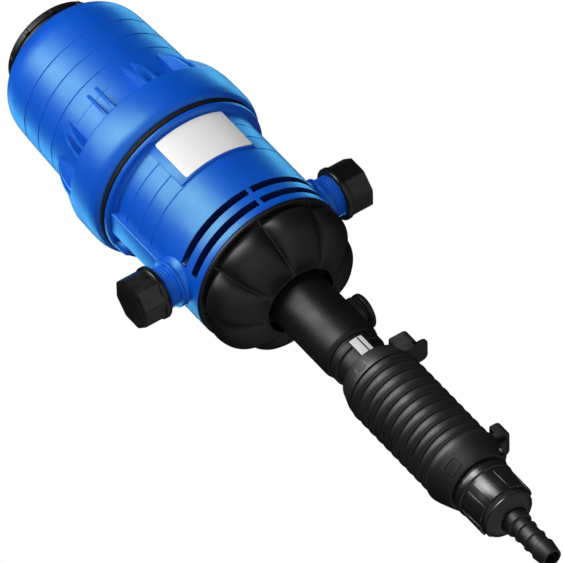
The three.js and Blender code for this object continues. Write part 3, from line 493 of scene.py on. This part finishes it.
# %% Paired webs round the bell
WEB_GROUPS, WEB_SPREAD, WEB_THICK, WEB_ROOT = 12, 6.4, 1.9, 48.8
web_shape = [(WEB_ROOT, -1), (59.4, -1), (59.0, 3), (58.3, 6.5), (57.2, 10.5), (55.7, 14.5),
             (53.9, 18.5), (51.8, 22.5), (49.6, 26.5), (WEB_ROOT, 27)]
for index in range(WEB_GROUPS):
    for side in (-1, 1):
        web = prism([(r, z + COLLAR_TOP) for r, z in web_shape], WEB_THICK)
        shift(web, y=side * WEB_SPREAD / 2)
        bell = gather(bell, turn(web, index * 360 / WEB_GROUPS))
piece("bell", bell, blue, "bell", "bell_cover", edge=0.3)

# %% [markdown]
# ## The top cap and the seal under the collar
#
# The black cap screws into the mouth of the bell. Ten small grips stand round its rim, and a plain
# neck below the rim holds it clear of the bell. A single turned outline makes rim, neck and
# threaded skirt. The seal is a plain ring pinched between the collar and the body's flange.

# %% Top cap
cap_high, cap_low = high("top_cap"), low("top_cap")
GRIPS, FIRST_GRIP, RIM_DEEP = 10, -91.6, 5.0
CAP_RADIUS, NECK_RADIUS, SKIRT_RADIUS, SKIRT_BORE = 32, 31, 29.5, 26.9
crown = turned([
    (0, cap_high), (30.6, cap_high, 0.5), (31.9, cap_high - 1.3, 0.4),
    (CAP_RADIUS, cap_high - RIM_DEEP, 0.4), (NECK_RADIUS, cap_high - RIM_DEEP - 0.4),
    (NECK_RADIUS, bell_high + 0.3), (SKIRT_RADIUS, bell_high + 0.3), (SKIRT_RADIUS, cap_low, 0.3),
    (SKIRT_BORE, cap_low, 0.3), (SKIRT_BORE, cap_high - 2.6), (0, cap_high - 2.6)])
for index in range(GRIPS):
    grip = soften(block((30.5, 32.7), (-1.5, 1.5), (cap_high - RIM_DEEP, cap_high - 1.9)), 0.4)
    crown = gather(crown, turn(grip, FIRST_GRIP + index * 360 / GRIPS))
piece("top_cap_shell", crown, black, "crown_cap", "top_cap")

# %% Collar seal
seal = ring(48.1, 56.6, low("bell_seal"), high("bell_seal"), 0.5)
piece("collar_seal", seal, rubber, "housing", "bell_seal", edge=0)

# %% [markdown]
# ## The main body
#
# One blue moulding holds the motor cylinder and both ports. Its lower wall is cut by two cooling
# slots that run round the front and back and stop short of the ports. The slots are carved as ring
# sectors, with a thin web left in the middle. The ports are turned and laid along X, and their
# flared necks start inside the wall. The faces inside the slots get a darker blue: painted shade
# for the depth of the slots.

# %% Body wall with its slots
body_low, body_high, flange_top = low("main_body"), high("main_body"), low("bell_seal") - 0.3
BODY_RADIUS, BODY_FLOOR, MOTOR_BORE, LOW_BORE, SPIGOT = 50.5, 11, 44.3, 34, 47.1
BODY_GROOVES = (24.25, 36, 48)
SLOT_TOPS, SLOT_WIDTH, SLOT_DEPTH, SLOT_HALF_ARC, SLOT_WEB = (-3.1, -13.4), 4.9, 11.5, 71, 1.5
fine_grooves = [corner for height in BODY_GROOVES
                for corner in reversed(groove(BODY_RADIUS, height, 0.8, 0.4))]
wall = turned([
    (LOW_BORE, body_low, 0.5), (50.4, body_low, 0.4), *fine_grooves,
    (BODY_RADIUS, flange_top - 4, 1), (52.5, flange_top - 2.8, 0.8),
    (55.6, flange_top - 2.4, 0.5), (56.3, flange_top, 0.6), (SPIGOT, flange_top),
    (SPIGOT, body_high, 0.5), (MOTOR_BORE, body_high, 0.5), (MOTOR_BORE, BODY_FLOOR),
    (LOW_BORE, BODY_FLOOR)], 192)
arc = SLOT_HALF_ARC - SLOT_WEB
cutters = []
for slot_top in SLOT_TOPS:
    for middle in (-90, 90):
        for side in (-1, 1):
            centre = middle + side * (SLOT_WEB + arc / 2)
            cutters.append(sector(BODY_RADIUS - SLOT_DEPTH, BODY_RADIUS + 2.5,
                                  slot_top - SLOT_WIDTH, slot_top, centre, arc))
wall = carve(wall, *cutters)
print("body wall:", len(wall.faces), "faces")

# %% Ports with helical threads
PORT_PITCH, PORT_CREST, PORT_ROOT, PORT_BORE, PORT_END = 1.81, 13.2, 12.35, 9, 77


def helix(root, crest, pitch, start, end, steps=48, flat=0.18):
    """A thread: a small ridge section spun while it advances, closed at both ends."""
    bm = bmesh.new()
    half, tip = pitch * 0.44, pitch * flat / 2
    section = [(root, -half), (crest, -tip), (crest, tip), (root, half)]
    corners = [bm.verts.new((r, 0, start + half + z)) for r, z in section]
    for a, b in zip(corners, corners[1:] + corners[:1]):
        bm.edges.new((a, b))
    turns = (end - start - 2 * half) / pitch
    count = int(turns * steps)
    bmesh.ops.spin(bm, geom=bm.verts[:] + bm.edges[:], cent=(0, 0, 0), axis=(0, 0, 1),
                   dvec=(0, 0, pitch / steps), angle=math.tau * count / steps, steps=count)
    bmesh.ops.holes_fill(bm, edges=[e for e in bm.edges if e.is_boundary], sides=0)
    bmesh.ops.recalc_face_normals(bm, faces=bm.faces)
    return bm


ports = []
for side in (1, -1):
    barrel = turned([
        (PORT_BORE, 33), (20.5, 33), (20.5, 40.5, 2), (17.2, 46, 4), (14.4, 51.2, 1.5),
        (14.3, 52.2), (15.1, 52.6, 0.3), (15.1, 54.4, 0.4), (PORT_ROOT, 54.9),
        (PORT_ROOT, PORT_END - 0.6, 0.3), (PORT_BORE, PORT_END, 0.4)], 96)
    ports.append(towards_x(barrel, side))
    ports.append(towards_x(helix(PORT_ROOT - 0.3, PORT_CREST, PORT_PITCH, 55.3, PORT_END - 1), side))

# %% Ribs, bosses and the label pad
BOSS_ORBIT, BOSS_SPREAD = 51, 65.6
ribs = []
for side in (1, -1):
    low_x, high_x = sorted((side * 47.5, side * 53.4))
    ribs.append(soften(block((low_x, high_x), (-8, 8), (13, flange_top - 2.5)), 0.8))
    boss = turned([(0, 49.5), (3.4, 49.5, 1.6), (4.6, 53, 2), (4.6, flange_top - 2),
                   (0, flange_top - 2)], 48)
    shift(boss, x=BOSS_ORBIT)
    ribs.append(turn(boss, 90 - side * BOSS_SPREAD))
pad = sector(48.5, 51.6, 25.2, 58.4, -90, 62, 40)
body = gather(wall, *ports, *ribs, soften(pad, 0.4, 2))
# Faces deep inside the slots get the darker blue: painted shade for the depth of the slots.
for face in body.faces:
    centre = face.calc_center_median()
    in_slot = any(top - SLOT_WIDTH - 0.01 < centre.z < top + 0.01 for top in SLOT_TOPS)
    between_floor_and_skin = 38.9 < centre.xy.length < 49.6
    if in_slot and between_floor_and_skin and abs(centre.x) < 48:
        face.material_index = 1
body_piece = piece("body", body, blue, "housing", "main_body", edge=0.22)
body_piece.data.materials.append(painted_slot_shade)

# %% Blank label
LABEL_THICK = 0.7
label = sector(51.7, 51.7 + LABEL_THICK, 26.3, 58.2, -88, 54, 48)
corner_edges = [e for e in label.edges if len({round(v.co.z, 3) for v in e.verts}) == 1
                and abs(e.calc_length() - LABEL_THICK) < 0.05 and e.calc_face_angle(0) > 1]
bmesh.ops.bevel(label, geom=corner_edges, offset=2.6, offset_type="OFFSET", segments=5,
                profile=0.5, affect="EDGES", material=-1)
piece("blank_label", label, label_stock, "housing", "label_plate", edge=0.1)

# %% [markdown]
# ## Screw caps on the ports
#
# Each cap is an eight-sided cup with a round rim at its open end. The sides are made by spinning
# the outline in eight steps, and their long edges are rounded before the rim is welded on. One
# bore is then carved through both, because two shells would show a seam inside the mouth.

# %% Port caps
CAP_SIDES, CAP_CORNER, CAP_LENGTH, CAP_BORE, CAP_DEPTH = 8, 16.4, 17.9, 13.5, 15.4
mouth = PORT_END - 14
for flow, side in (("inlet", -1), ("outlet", 1)):
    cup = turned([(0, mouth + 2), (CAP_CORNER, mouth + 2), (CAP_CORNER, mouth + CAP_LENGTH),
                  (0, mouth + CAP_LENGTH)], CAP_SIDES)
    turn(cup, 180 / CAP_SIDES)
    soften(cup, 1.0, 3, along=2)
    rim = turned([(0, mouth), (16.2, mouth, 0.6), (16.75, mouth + 1), (16.75, mouth + 3.6, 0.6),
                  (15.2, mouth + 4.4), (0, mouth + 4.4)], 96)
    cup = carve(weld(cup, rim), disc(CAP_BORE, mouth - 1, mouth + CAP_DEPTH, 96))
    piece(f"{flow}_cap_shell", towards_x(cup, side), polished, f"{flow}_screw_cap",
          f"{flow}_cap", edge=0.35)

# %% [markdown]
# ## The lobed lower housing
#
# The housing is a bowl whose flank swells into eight pillows between thin ribs. Two outlines drive
# it: one along the seams and one along the middle of a pillow, with the same number of rows. The
# seam outline is spun, and each row is then drawn towards its pillow outline by a curve that is
# flat in the middle of a pillow and steep beside a rib.

# %% Housing outlines
house_low, house_high = low("lower_housing"), high("lower_housing")
PILLOWS, FIRST_SEAM, FLANK_ROWS, FLATNESS, ROUNDNESS = 8, -100, 30, 3.2, 0.8
seam_marks = [(45.6, -4.6), (45.2, -5.6), (44.4, -8), (42.6, -12), (39.8, -17), (35.8, -22),
              (31.2, -26.8), (27.4, -30.2), (24.5, -32.4)]
pillow_marks = [(45.6, -4.6), (48.4, -5.4), (49.9, -8.2), (49.6, -13), (47.6, -18.4),
                (43.6, -23.6), (37.6, -28.2), (31.2, -31.3), (24.5, -32.4)]


def along(marks, share):
    """A smooth point on a chain of marks, with share running from 0 to 1."""
    at = share * (len(marks) - 1)
    index = min(int(at), len(marks) - 2)
    t = at - index
    a, b, c, d = [Vector(marks[min(max(index + k, 0), len(marks) - 1)]) for k in (-1, 0, 1, 2)]
    return 0.5 * (2 * b + (c - a) * t + (2 * a - 5 * b + 4 * c - d) * t * t
                  + (3 * b - a - 3 * c + d) * t ** 3)


shares = [row / FLANK_ROWS for row in range(FLANK_ROWS + 1)]
seam_rows = [along(seam_marks, share) for share in shares]
pillow_rows = [along(pillow_marks, share) for share in shares]
flank = [(r, house_high + z) for r, z in seam_rows]
bowl = turned([
    (40, house_high), (50.4, house_high, 0.4), (50.4, house_high - 2.3, 0.8),
    (45.8, house_high - 2.7, 0.3), *flank, (24.3, house_low, 0.3), (22.7, house_low, 0.5),
    (22.3, house_low + 8.5, 0.6), (19.4, house_low + 8.5), (19.4, house_low + 10.5),
    (27, house_low + 10.5), (36, house_high - 12), (40, house_high - 6)], 384)
print("bowl:", len(bowl.faces), "faces")

# %% Draw the pillows out and add the seam ribs
row_of = {(round(r, 2), round(z, 2)): index for index, (r, z) in enumerate(flank)}
for vertex in bowl.verts:
    radius, angle = math.hypot(vertex.co.x, vertex.co.y), math.atan2(vertex.co.y, vertex.co.x)
    row = row_of.get((round(radius, 2), round(vertex.co.z, 2)))
    if row is not None:
        phase = (math.degrees(angle) - FIRST_SEAM) / 360 * PILLOWS % 1
        fullness = (1 - abs(2 * phase - 1) ** FLATNESS) ** ROUNDNESS
        drawn = (pillow_rows[row] - seam_rows[row]) * fullness
        vertex.co.x *= 1 + drawn.x / radius
        vertex.co.y *= 1 + drawn.x / radius
        vertex.co.z += drawn.y
rib_edge = [(r + 0.9, house_high + z - 0.4) for r, z in seam_rows[::3]]
rib_shape = [(49.6, house_high - 2), (47.2, house_high - 3.4), *rib_edge[1:-1],
             (24.6, house_low + 0.3), (24.6, house_low + 3), (43, house_high - 3)]
for index in range(PILLOWS):
    rib = prism(rib_shape, 1.1)
    bowl = gather(bowl, turn(rib, FIRST_SEAM + index * 360 / PILLOWS))
piece("bowl", bowl, black, "housing", "lower_housing", edge=0, sharp=40)

# %% [markdown]
# ## Stem, scale and side plug
#
# The stem is a plain tube with a screw thread below its shoulder. A white strip with a single dark
# line lies in a channel cut along the thread and shows the setting. A round plug closes a side
# port. The thread is a separate spun ridge, so the channel is carved from the tube and from it.

# %% Stem tube
stem_top, stem_low = high("stem_tube"), low("stem_tube")
BARREL_END, STEM_RADIUS, STEM_BORE, THREAD_ROOT, PLUG_AXIS = -107.5, 19.1, 14.9, 16.5, -84
SCALE_ANGLE, SCALE_ARC = -92.5, 28
THREAD_TOP = BARREL_END - 2.4


def scale_channel():
    """The cutter for the channel that the scale strip lies in."""
    return sector(16.3, STEM_RADIUS, -150, THREAD_TOP - 0.3, SCALE_ANGLE, SCALE_ARC + 3, 12)


stem = turned([
    (STEM_BORE, stem_top), (25, stem_top, 0.3), (25, stem_top - 4, 0.3),
    (STEM_RADIUS, stem_top - 4), (STEM_RADIUS, BARREL_END + 2.6, 1.2), (18.0, BARREL_END, 0.3),
    (17.0, BARREL_END - 0.2), (17.0, THREAD_TOP + 1), (17.7, THREAD_TOP, 0.3),
    (17.7, THREAD_TOP - 4.4, 0.2), (THREAD_ROOT, THREAD_TOP - 5.1), (THREAD_ROOT, stem_low, 0.3),
    (STEM_BORE, stem_low, 0.3)])
thread = helix(THREAD_ROOT - 0.2, 17.75, 2.2, THREAD_TOP - 5.2, stem_low + 2, 64, 0.4)
plug_seat = towards_x(turned([(0, 13), (10.6, 13), (11.1, 20.4, 0.4), (0, 20.4)], 64), 1)
shift(plug_seat, z=PLUG_AXIS)
stem = gather(carve(stem, scale_channel()), carve(thread, scale_channel()), plug_seat)
piece("stem", stem, black, "housing", "stem_tube", edge=0.2)

# %% Scale strip
strip_low, strip_high = low("scale_strip"), high("scale_strip")
strip = sector(17.0, 17.6, strip_low, strip_high, SCALE_ANGLE, SCALE_ARC, 12)
line = sector(17.3, 17.75, strip_low + 0.5, strip_high - 0.5, SCALE_ANGLE + 3.5, 2.6, 4)
for face in line.faces:
    face.material_index = 1
scale = piece("scale", gather(strip, line), scale_stock, "housing", "scale_strip",
              edge=0.05)
scale.data.materials.append(rubber)

# %% Side plug and its seal
plug_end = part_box("side_plug")[1].x / MM
plug = turned([(0, 13.5), (5, 13.5, 0.3), (5, plug_end - 3.4), (11, plug_end - 3.4, 0.4),
               (11.2, plug_end, 1.2), (7.5, plug_end, 0.4), (6.8, plug_end - 0.8, 0.3),
               (0, plug_end - 0.8)], 96)
coin_slot = block((-6, 6), (-0.9, 0.9), (plug_end - 2, plug_end + 1))
plug = shift(towards_x(carve(plug, coin_slot), 1), z=PLUG_AXIS)
piece("plug", plug, black, "drain_plug", "side_plug")
plug_seal = shift(towards_x(ring(5.3, 10.6, 20.7, 22.2, 0.5, 64), 1), z=PLUG_AXIS)
piece("plug_ring", plug_seal, rubber, "plug_seal", "side_plug_seal", edge=0)

# %% [markdown]
# ## The setting sleeve and its two collars
#
# Ten soft rounds give the hand a grip, so the sleeve's outline is one short curve repeated. The
# upper collar is a low cone all round, with a high drum behind, so that the scale stays in view.
# Its ear holds the latch tab. The lower collar has a matching ear that a screw pulls tight, and
# both have a small sunk shape in front. Everything is welded first and carved last, so that the
# bore and the pockets cut cleanly through every part of the skin.

# %% Grip sleeve
sleeve_top, sleeve_low = high("grip_sleeve"), low("grip_sleeve")
ROUNDS, SLEEVE_BORE = 10, 18.9
ROUND_MARKS = [(22.7, 0.02), (23.8, 0.09, 0.5), (24.4, 0.32, 1.4), (24.35, 0.56, 1.0),
               (23.95, 0.72, 0.1), (23.55, 0.76), (23.85, 0.80, 0.1), (23.5, 0.92, 0.4),
               (22.7, 0.98)]
pitch = (sleeve_top - sleeve_low) / ROUNDS
sleeve_outline = [(SLEEVE_BORE, sleeve_top)]
for index in range(ROUNDS):
    top = sleeve_top - index * pitch
    sleeve_outline += [(radius, top - share * pitch, *rounding)
                       for radius, share, *rounding in ROUND_MARKS]
sleeve_outline.append((SLEEVE_BORE, sleeve_low))
piece("sleeve", turned(sleeve_outline, 128), black, "setting_sleeve", "grip_sleeve",
      edge=0)

# %% Upper collar with its ear, and the latch tab
lock_top, lock_low = high("lock_collar"), low("lock_collar")
EAR_HALF, EAR_DEEP, COLLAR_RADIUS, FRONT_ANGLE = 10.3, 10, 25.2, -127.5


def ear(root, reach, bottom, top):
    """A square ear with rounded outer corners."""
    bm = block((root, reach), (-EAR_HALF, EAR_HALF), (bottom, top))
    soften_outer_corners(bm, reach, 4, 8)
    rims = [e for e in bm.edges if abs(e.verts[0].co.z - e.verts[1].co.z) < 1e-4]
    bmesh.ops.bevel(bm, geom=rims, offset=0.8, offset_type="OFFSET", segments=3, profile=0.5,
                    affect="EDGES", material=-1)
    return bm


CONE_TOP = lock_top - 7.6
cone = turned([(0, lock_low), (23.8, lock_low, 0.4), (23.4, lock_low + 3, 1),
               (20.1, CONE_TOP, 0.8), (0, CONE_TOP)], 128)
drum = turned([(0, lock_low), (23.8, lock_low, 0.4), (COLLAR_RADIUS, lock_low + 4, 2),
               (COLLAR_RADIUS, lock_top - 4.5, 2.5), (22.8, lock_top, 1.2), (0, lock_top)], 128)
front = shift(turn(block((0, 60), (-40, 40), (-30, 30)), 15, "Y"), x=-7.6, z=lock_top - 4)
drum = carve(drum, turn(front, FRONT_ANGLE))
guide_block = soften(block((18, 27.4), (-10.2, 10.2), (lock_top - 13.9, lock_top - 9)), 0.5)
upper = weld(cone, drum, ear(18, 31.4, lock_top - EAR_DEEP, lock_top), guide_block)
bore = disc(SLEEVE_BORE, lock_low - 2, lock_top + 2, 96)
tab_low, tab_high = low("lock_tab"), high("lock_tab")
tab_way = block((21.7, 33), (-8.9, 8.9), (tab_low - 0.3, tab_high + 0.3))
upper = carve(upper, bore, tab_way)
oval = carve(disc(3.1, 22.4, 26, 32), disc(2.55, 21, 27, 32))
bmesh.ops.scale(oval, vec=(0.9, 1.25, 1), verts=oval.verts)
upper = carve(upper, turn(shift(towards_x(oval, 1), z=lock_low + 5), -122.5))
piece("upper_collar", upper, black, "lock_ring", "lock_collar", edge=0.3)

TAB_REACH = 37.6
tab = block((22, TAB_REACH), (-8.6, 8.6), (tab_low, tab_high))
soften_outer_corners(tab, TAB_REACH, 4, 6)
piece("latch_tab", tab, black, "latch", "lock_tab", edge=0.4)

# %% Lower collar with its ear and screw
clamp_top, clamp_low, ear_top = low("grip_sleeve") - 0.3, low("clamp_collar"), high("clamp_collar")
ear_low = ear_top - EAR_DEEP
BAND_LOW, CONE_LOW, CLAMP_BORE = clamp_top - 5.4, clamp_low + 3.5, 14.4
SCREW_ORBIT, SCREW_ANGLE, PAD_LOW, PAD_HIGH, PAD_ANGLE = 20.9, -27, -228, -221, -128.5


def by_screw(bm):
    """Moves a mesh from the axis to the clamp screw's place."""
    return turn(shift(bm, x=SCREW_ORBIT), SCREW_ANGLE)


def skirt_radius(z):
    """The radius of the collar's sloping lower skirt at a height."""
    return COLLAR_RADIUS - (BAND_LOW - z) * (COLLAR_RADIUS - 21.6) / (BAND_LOW - CONE_LOW)


skirt = turned([(0, clamp_top), (24.2, clamp_top, 0.3), (COLLAR_RADIUS, clamp_top - 2.6, 1.2),
                (COLLAR_RADIUS, BAND_LOW, 3), (21.6, CONE_LOW, 1.5), (20.2, clamp_low, 0.5),
                (0, clamp_low)], 128)
tip_block = ear(25.0, 33, ear_low, ear_top)
root_block = ear(15, 33, ear_low, clamp_top - 0.3)
ear_web = prism([(19.5, clamp_low + 2.5), (31.5, ear_low + 0.5), (15, ear_low + 0.5)], 12)
lower = weld(skirt, tip_block, root_block, ear_web)
lower = carve(lower, disc(CLAMP_BORE, clamp_low - 2, clamp_top + 2, 96))
lower = carve(lower, by_screw(disc(3.1, clamp_low - 2, clamp_top - 12, 32)))
under = turned([(0, PAD_LOW - 1), (skirt_radius(PAD_LOW - 1) - 0.5, PAD_LOW - 1),
                (skirt_radius(PAD_HIGH + 1) - 0.5, PAD_HIGH + 1), (0, PAD_HIGH + 1)], 128)
outer = soften(block((19, 27), (-5.3, 5.3), (PAD_LOW, PAD_HIGH)), 2.2, 6, along=0)
inner = soften(block((18, 28), (-4.7, 4.7), (PAD_LOW + 0.6, PAD_HIGH - 0.6)), 1.7, 6, along=0)
lower = carve(lower, turn(carve(outer, inner, under), PAD_ANGLE))
piece("lower_collar", lower, black, "setting_sleeve", "clamp_collar", edge=0.3)

# %% Clamp screw
screw_low, screw_high = low("clamp_screw"), high("clamp_screw")
screw = turned([(0, screw_low), (1.9, screw_low, 0.2), (2.5, screw_low + 0.7, 0.3),
                (2.5, screw_low + 1.6), (1.5, screw_low + 1.6), (1.5, screw_high),
                (0, screw_high)], 32)
screw = carve(screw, block((-1.6, 1.6), (-0.3, 0.3), (screw_low - 1, screw_low + 0.7)))
piece("collar_screw", by_screw(screw), steel, "setting_sleeve", "clamp_screw", edge=0.1)

# %% [markdown]
# ## Clamp nut and hose barb
#
# The nut closes over the foot of the dosing cylinder and rounds in towards the barb. Eight raised
# panels round its flank give a spanner or a hand something to hold; each is a softened ring sector
# that starts inside the flank. The barb has two thin ridges, a swollen end and a tapered tip.

# %% Clamp nut
nut_low, nut_high = low("clamp_nut"), high("clamp_nut")
PANELS, FIRST_PANEL, PANEL_ARC, NUT_BORE, NUT_THROAT = 8, -110.5, 32, 16.3, 8.7
nut = turned([
    (NUT_BORE, nut_high, 0.3), (19.3, nut_high, 0.7), (19.3, nut_high - 4.4, 0.4),
    (18.5, nut_high - 5.2, 0.3), (18.2, nut_low + 11, 4), (16.9, nut_low + 5.8, 3),
    (13.8, nut_low + 2.2, 2.5), (10.2, nut_low + 0.3, 1.2), (NUT_THROAT, nut_low, 0.4),
    (NUT_THROAT, nut_low + 4.5), (NUT_BORE, nut_low + 4.5)], 128)
for index in range(PANELS):
    middle = FIRST_PANEL + index * 360 / PANELS
    panel = sector(16, 18.75, nut_low + 8, nut_high - 6.6, middle, PANEL_ARC, 10)
    nut = gather(nut, soften(panel, 0.35, 2))
piece("nut_shell", nut, polished, "nut", "clamp_nut", edge=0.25)

# %% Hose barb
barb_low, barb_high = low("hose_barb"), high("hose_barb")


def ridge(height, radius=7.7, root=6.8):
    """A thin ridge on the barb, as outline corners from top to bottom."""
    return [(root, height + 0.8, 0.1), (radius, height + 0.5, 0.15), (radius, height - 0.3, 0.15),
            (root - 0.1, height - 0.8, 0.1)]


HOSE_BORE, FLANGE_RADIUS = 5, 15.6
hose = turned([
    (HOSE_BORE, barb_high), (7.5, barb_high, 0.3), (7.5, nut_low + 9.7),
    (FLANGE_RADIUS, nut_low + 9.7, 0.3), (FLANGE_RADIUS, nut_low + 6.7, 0.3),
    (8.5, nut_low + 6.7), (8.4, nut_low - 5.6, 0.3), (7.1, nut_low - 6.8, 0.3),
    *ridge(nut_low - 11.5), *ridge(nut_low - 20, 7.6), (6.55, nut_low - 26.5, 0.3),
    (7.65, nut_low - 27.6, 0.4), (6.3, barb_low, 0.35), (HOSE_BORE, barb_low, 0.35)], 96)
piece("hose_tail", hose, black, "dosing_unit", "hose_barb", edge=0)

# %% [markdown]
# ## Inner parts
#
# The motor, plunger, check valve and seals keep their CAD meshes. Each gets the finish of its
# material slot, so an opened pump shows acetal, steel and rubber rather than one flat colour.

# %% Finish the inner parts
by_slot = {"blue_plastic": blue, "black_plastic": black, "black_rubber": rubber,
           "white_plastic": label_stock, "ivory_plastic": ivory, "grey_plastic": grey,
           "steel": steel}
slot_of = {s["node"]: s["material_slot"] for s in frame["record"]["subparts"]}
kept = 0
for node, shown in frame["nodes"].items():
    if not shown.hide_render:
        shown.data.materials.clear()
        shown.data.materials.append(by_slot[slot_of[node]])
        kept += 1
print("inner parts finished:", kept)

# %% [markdown]
# ## Studio
#
# The pump is shown from below and to the left, rolled so that its axis crosses the frame from
# corner to corner. A very long lens from far away keeps the lines of a long object parallel. The
# barrel is a mirror for whatever stands before it, so each light is placed by where its highlight
# should run, and some light only a few pieces. The floor lies under the barb. It is seen through
# from below, so that the camera, which stands lower than the floor, looks straight at the pump.

# %% Camera
AZIMUTH, ELEVATION, ROLL = math.radians(-27.07), math.radians(-33.28), math.radians(-44.2)
FRAME_WIDTH, LENS, SENSOR = 0.3273, 1100.0, 36.0
target = Vector((7.33, 15.22, -25.73)) * MM
back = Vector((math.sin(AZIMUTH) * math.cos(ELEVATION), -math.cos(AZIMUTH) * math.cos(ELEVATION),
               math.sin(ELEVATION)))
level = Vector((math.cos(AZIMUTH), math.sin(AZIMUTH), 0))
upright = back.cross(level)
right = level * math.cos(ROLL) + upright * math.sin(ROLL)
up = back.cross(right)
camera_data = bpy.data.cameras.new("camera")
camera_data.lens, camera_data.sensor_width = LENS, SENSOR
camera_data.clip_start, camera_data.clip_end = 0.05, 20
camera = bpy.data.objects.new("camera", camera_data)
bpy.context.scene.collection.objects.link(camera)
bpy.context.scene.camera = camera
turn_matrix = Matrix((right, up, back)).transposed().to_4x4()
camera.matrix_world = Matrix.Translation(target + back * (FRAME_WIDTH * LENS / SENSOR)) @ turn_matrix
print("camera at", [round(v, 3) for v in camera.location])

# %% Soft lights, placed by where their highlight falls
BARREL_MIDDLE = Vector((0, 0, -0.03))
EDGE_BLUE, EDGE_SIZE, EDGE_PLACE, EDGE_POWER = (0.15, 0.6, 1), (0.5, 0.9), 0.92, 6
spine = Vector((0, 0, 1))
facing = (back - spine * back.dot(spine)).normalized()
across = spine.cross(facing)


def mirror(place):
    """The way to a light whose highlight runs at a place from -1 (left edge) to 1 (right edge)."""
    normal = across * place + facing * math.sqrt(1 - place * place)
    return 2 * normal.dot(back) * normal - back


def softbox(name, way, distance, size, power, colour=(1, 1, 1), lean=0, only=None):
    """A rectangular area light that looks at the pump, may lean, and may light only some pieces."""
    lamp = bpy.data.lights.new(name, "AREA")
    lamp.shape, lamp.size, lamp.size_y = "RECTANGLE", size[0], size[1]
    lamp.energy, lamp.color = power, colour
    holder = bpy.data.objects.new(name, lamp)
    bpy.context.scene.collection.objects.link(holder)
    way = way.normalized()
    sideways = spine.cross(way).normalized()
    frame_turn = Matrix((sideways, way.cross(sideways), way)).transposed()
    frame_turn = Matrix.Rotation(math.radians(lean), 3, way) @ frame_turn
    place = Matrix.Translation(BARREL_MIDDLE + way * distance)
    holder.matrix_world = place @ frame_turn.to_4x4()
    if only:
        lit = bpy.data.collections.new(name + "_receivers")
        for receiver in only:
            lit.objects.link(receiver)
        holder.light_linking.receiver_collection = lit
    return holder


def pieces(*names):
    """The finished pieces with these names."""
    return [bpy.data.objects[name] for name in names]


blue_pieces = pieces("bell", "body")
grip_pieces = pieces("sleeve", "upper_collar", "lower_collar", "nut_shell", "hose_tail")
softbox("key", mirror(-0.10), 1.0, (0.45, 1.0), 10, lean=55)
softbox("front", back + up * 0.2, 1.4, (1.0, 1.0), 0.4)
for name, side in (("right_edge", 1), ("left_edge", -1)):
    softbox(name, mirror(side * EDGE_PLACE), 1.2, EDGE_SIZE, EDGE_POWER, EDGE_BLUE,
            only=blue_pieces)
softbox("blue_fill", back, 1.6, (1.2, 1.2), 5, (0.5, 0.85, 1), only=blue_pieces)
softbox("grip_light", mirror(0.12), 1.0, (0.4, 1.5), 14, only=grip_pieces)
softbox("label_fill", back + up * 0.2, 1.4, (1.0, 1.0), 5, only=pieces("blank_label"))
print("lights:", len(bpy.data.lights))

# %% Floor
FLOOR_GAP, FLOOR_HALF = 0.05, 4
floor_height = cad_box[0].z - FLOOR_GAP
floor_bm = bmesh.new()
bmesh.ops.create_grid(floor_bm, x_segments=1, y_segments=1, size=FLOOR_HALF)
bmesh.ops.translate(floor_bm, vec=(0, 0, floor_height), verts=floor_bm.verts)
floor_mesh = bpy.data.meshes.new("floor")
floor_bm.to_mesh(floor_mesh)
floor_bm.free()
floor = bpy.data.objects.new("floor", floor_mesh)
bpy.context.scene.collection.objects.link(floor)
floor_paint = bpy.data.materials.new("floor_paint")
floor_paint.use_nodes = True
paint = floor_paint.node_tree
plain = paint.nodes["Principled BSDF"]
plain.inputs["Base Color"].default_value = (0.88, 0.88, 0.88, 1)
plain.inputs["Roughness"].default_value = 0.9
clear = paint.nodes.new("ShaderNodeBsdfTransparent")
choose = paint.nodes.new("ShaderNodeMixShader")
either = paint.nodes.new("ShaderNodeMath")
either.operation = "MAXIMUM"
path = paint.nodes.new("ShaderNodeLightPath")
paint.links.new(path.outputs["Is Camera Ray"], plain.inputs["Emission Color"])
plain.inputs["Emission Strength"].default_value = 0.55
paint.links.new(paint.nodes.new("ShaderNodeNewGeometry").outputs["Backfacing"], either.inputs[0])
paint.links.new(path.outputs["Is Shadow Ray"], either.inputs[1])
paint.links.new(either.outputs["Value"], choose.inputs["Fac"])
paint.links.new(plain.outputs["BSDF"], choose.inputs[1])
paint.links.new(clear.outputs["BSDF"], choose.inputs[2])
paint.links.new(choose.outputs["Shader"], paint.nodes["Material Output"].inputs["Surface"])
floor_mesh.materials.append(floor_paint)

# %% World
world = bpy.data.worlds.new("studio")
bpy.context.scene.world = world
world.use_nodes = True
sky = world.node_tree
soft = sky.nodes["Background"]
soft.inputs["Color"].default_value = (0.9, 0.94, 1, 1)
soft.inputs["Strength"].default_value = 0.02
seen = sky.nodes.new("ShaderNodeBackground")
seen.inputs["Color"].default_value = (1, 1, 1, 1)
mix = sky.nodes.new("ShaderNodeMixShader")
sky.links.new(sky.nodes.new("ShaderNodeLightPath").outputs["Is Camera Ray"], mix.inputs["Fac"])
sky.links.new(soft.outputs["Background"], mix.inputs[1])
sky.links.new(seen.outputs["Background"], mix.inputs[2])
sky.links.new(mix.outputs["Shader"], sky.nodes["World Output"].inputs["Surface"])
bpy.context.scene.view_settings.view_transform = "Standard"
print("floor at", round(floor_height, 3), "m")
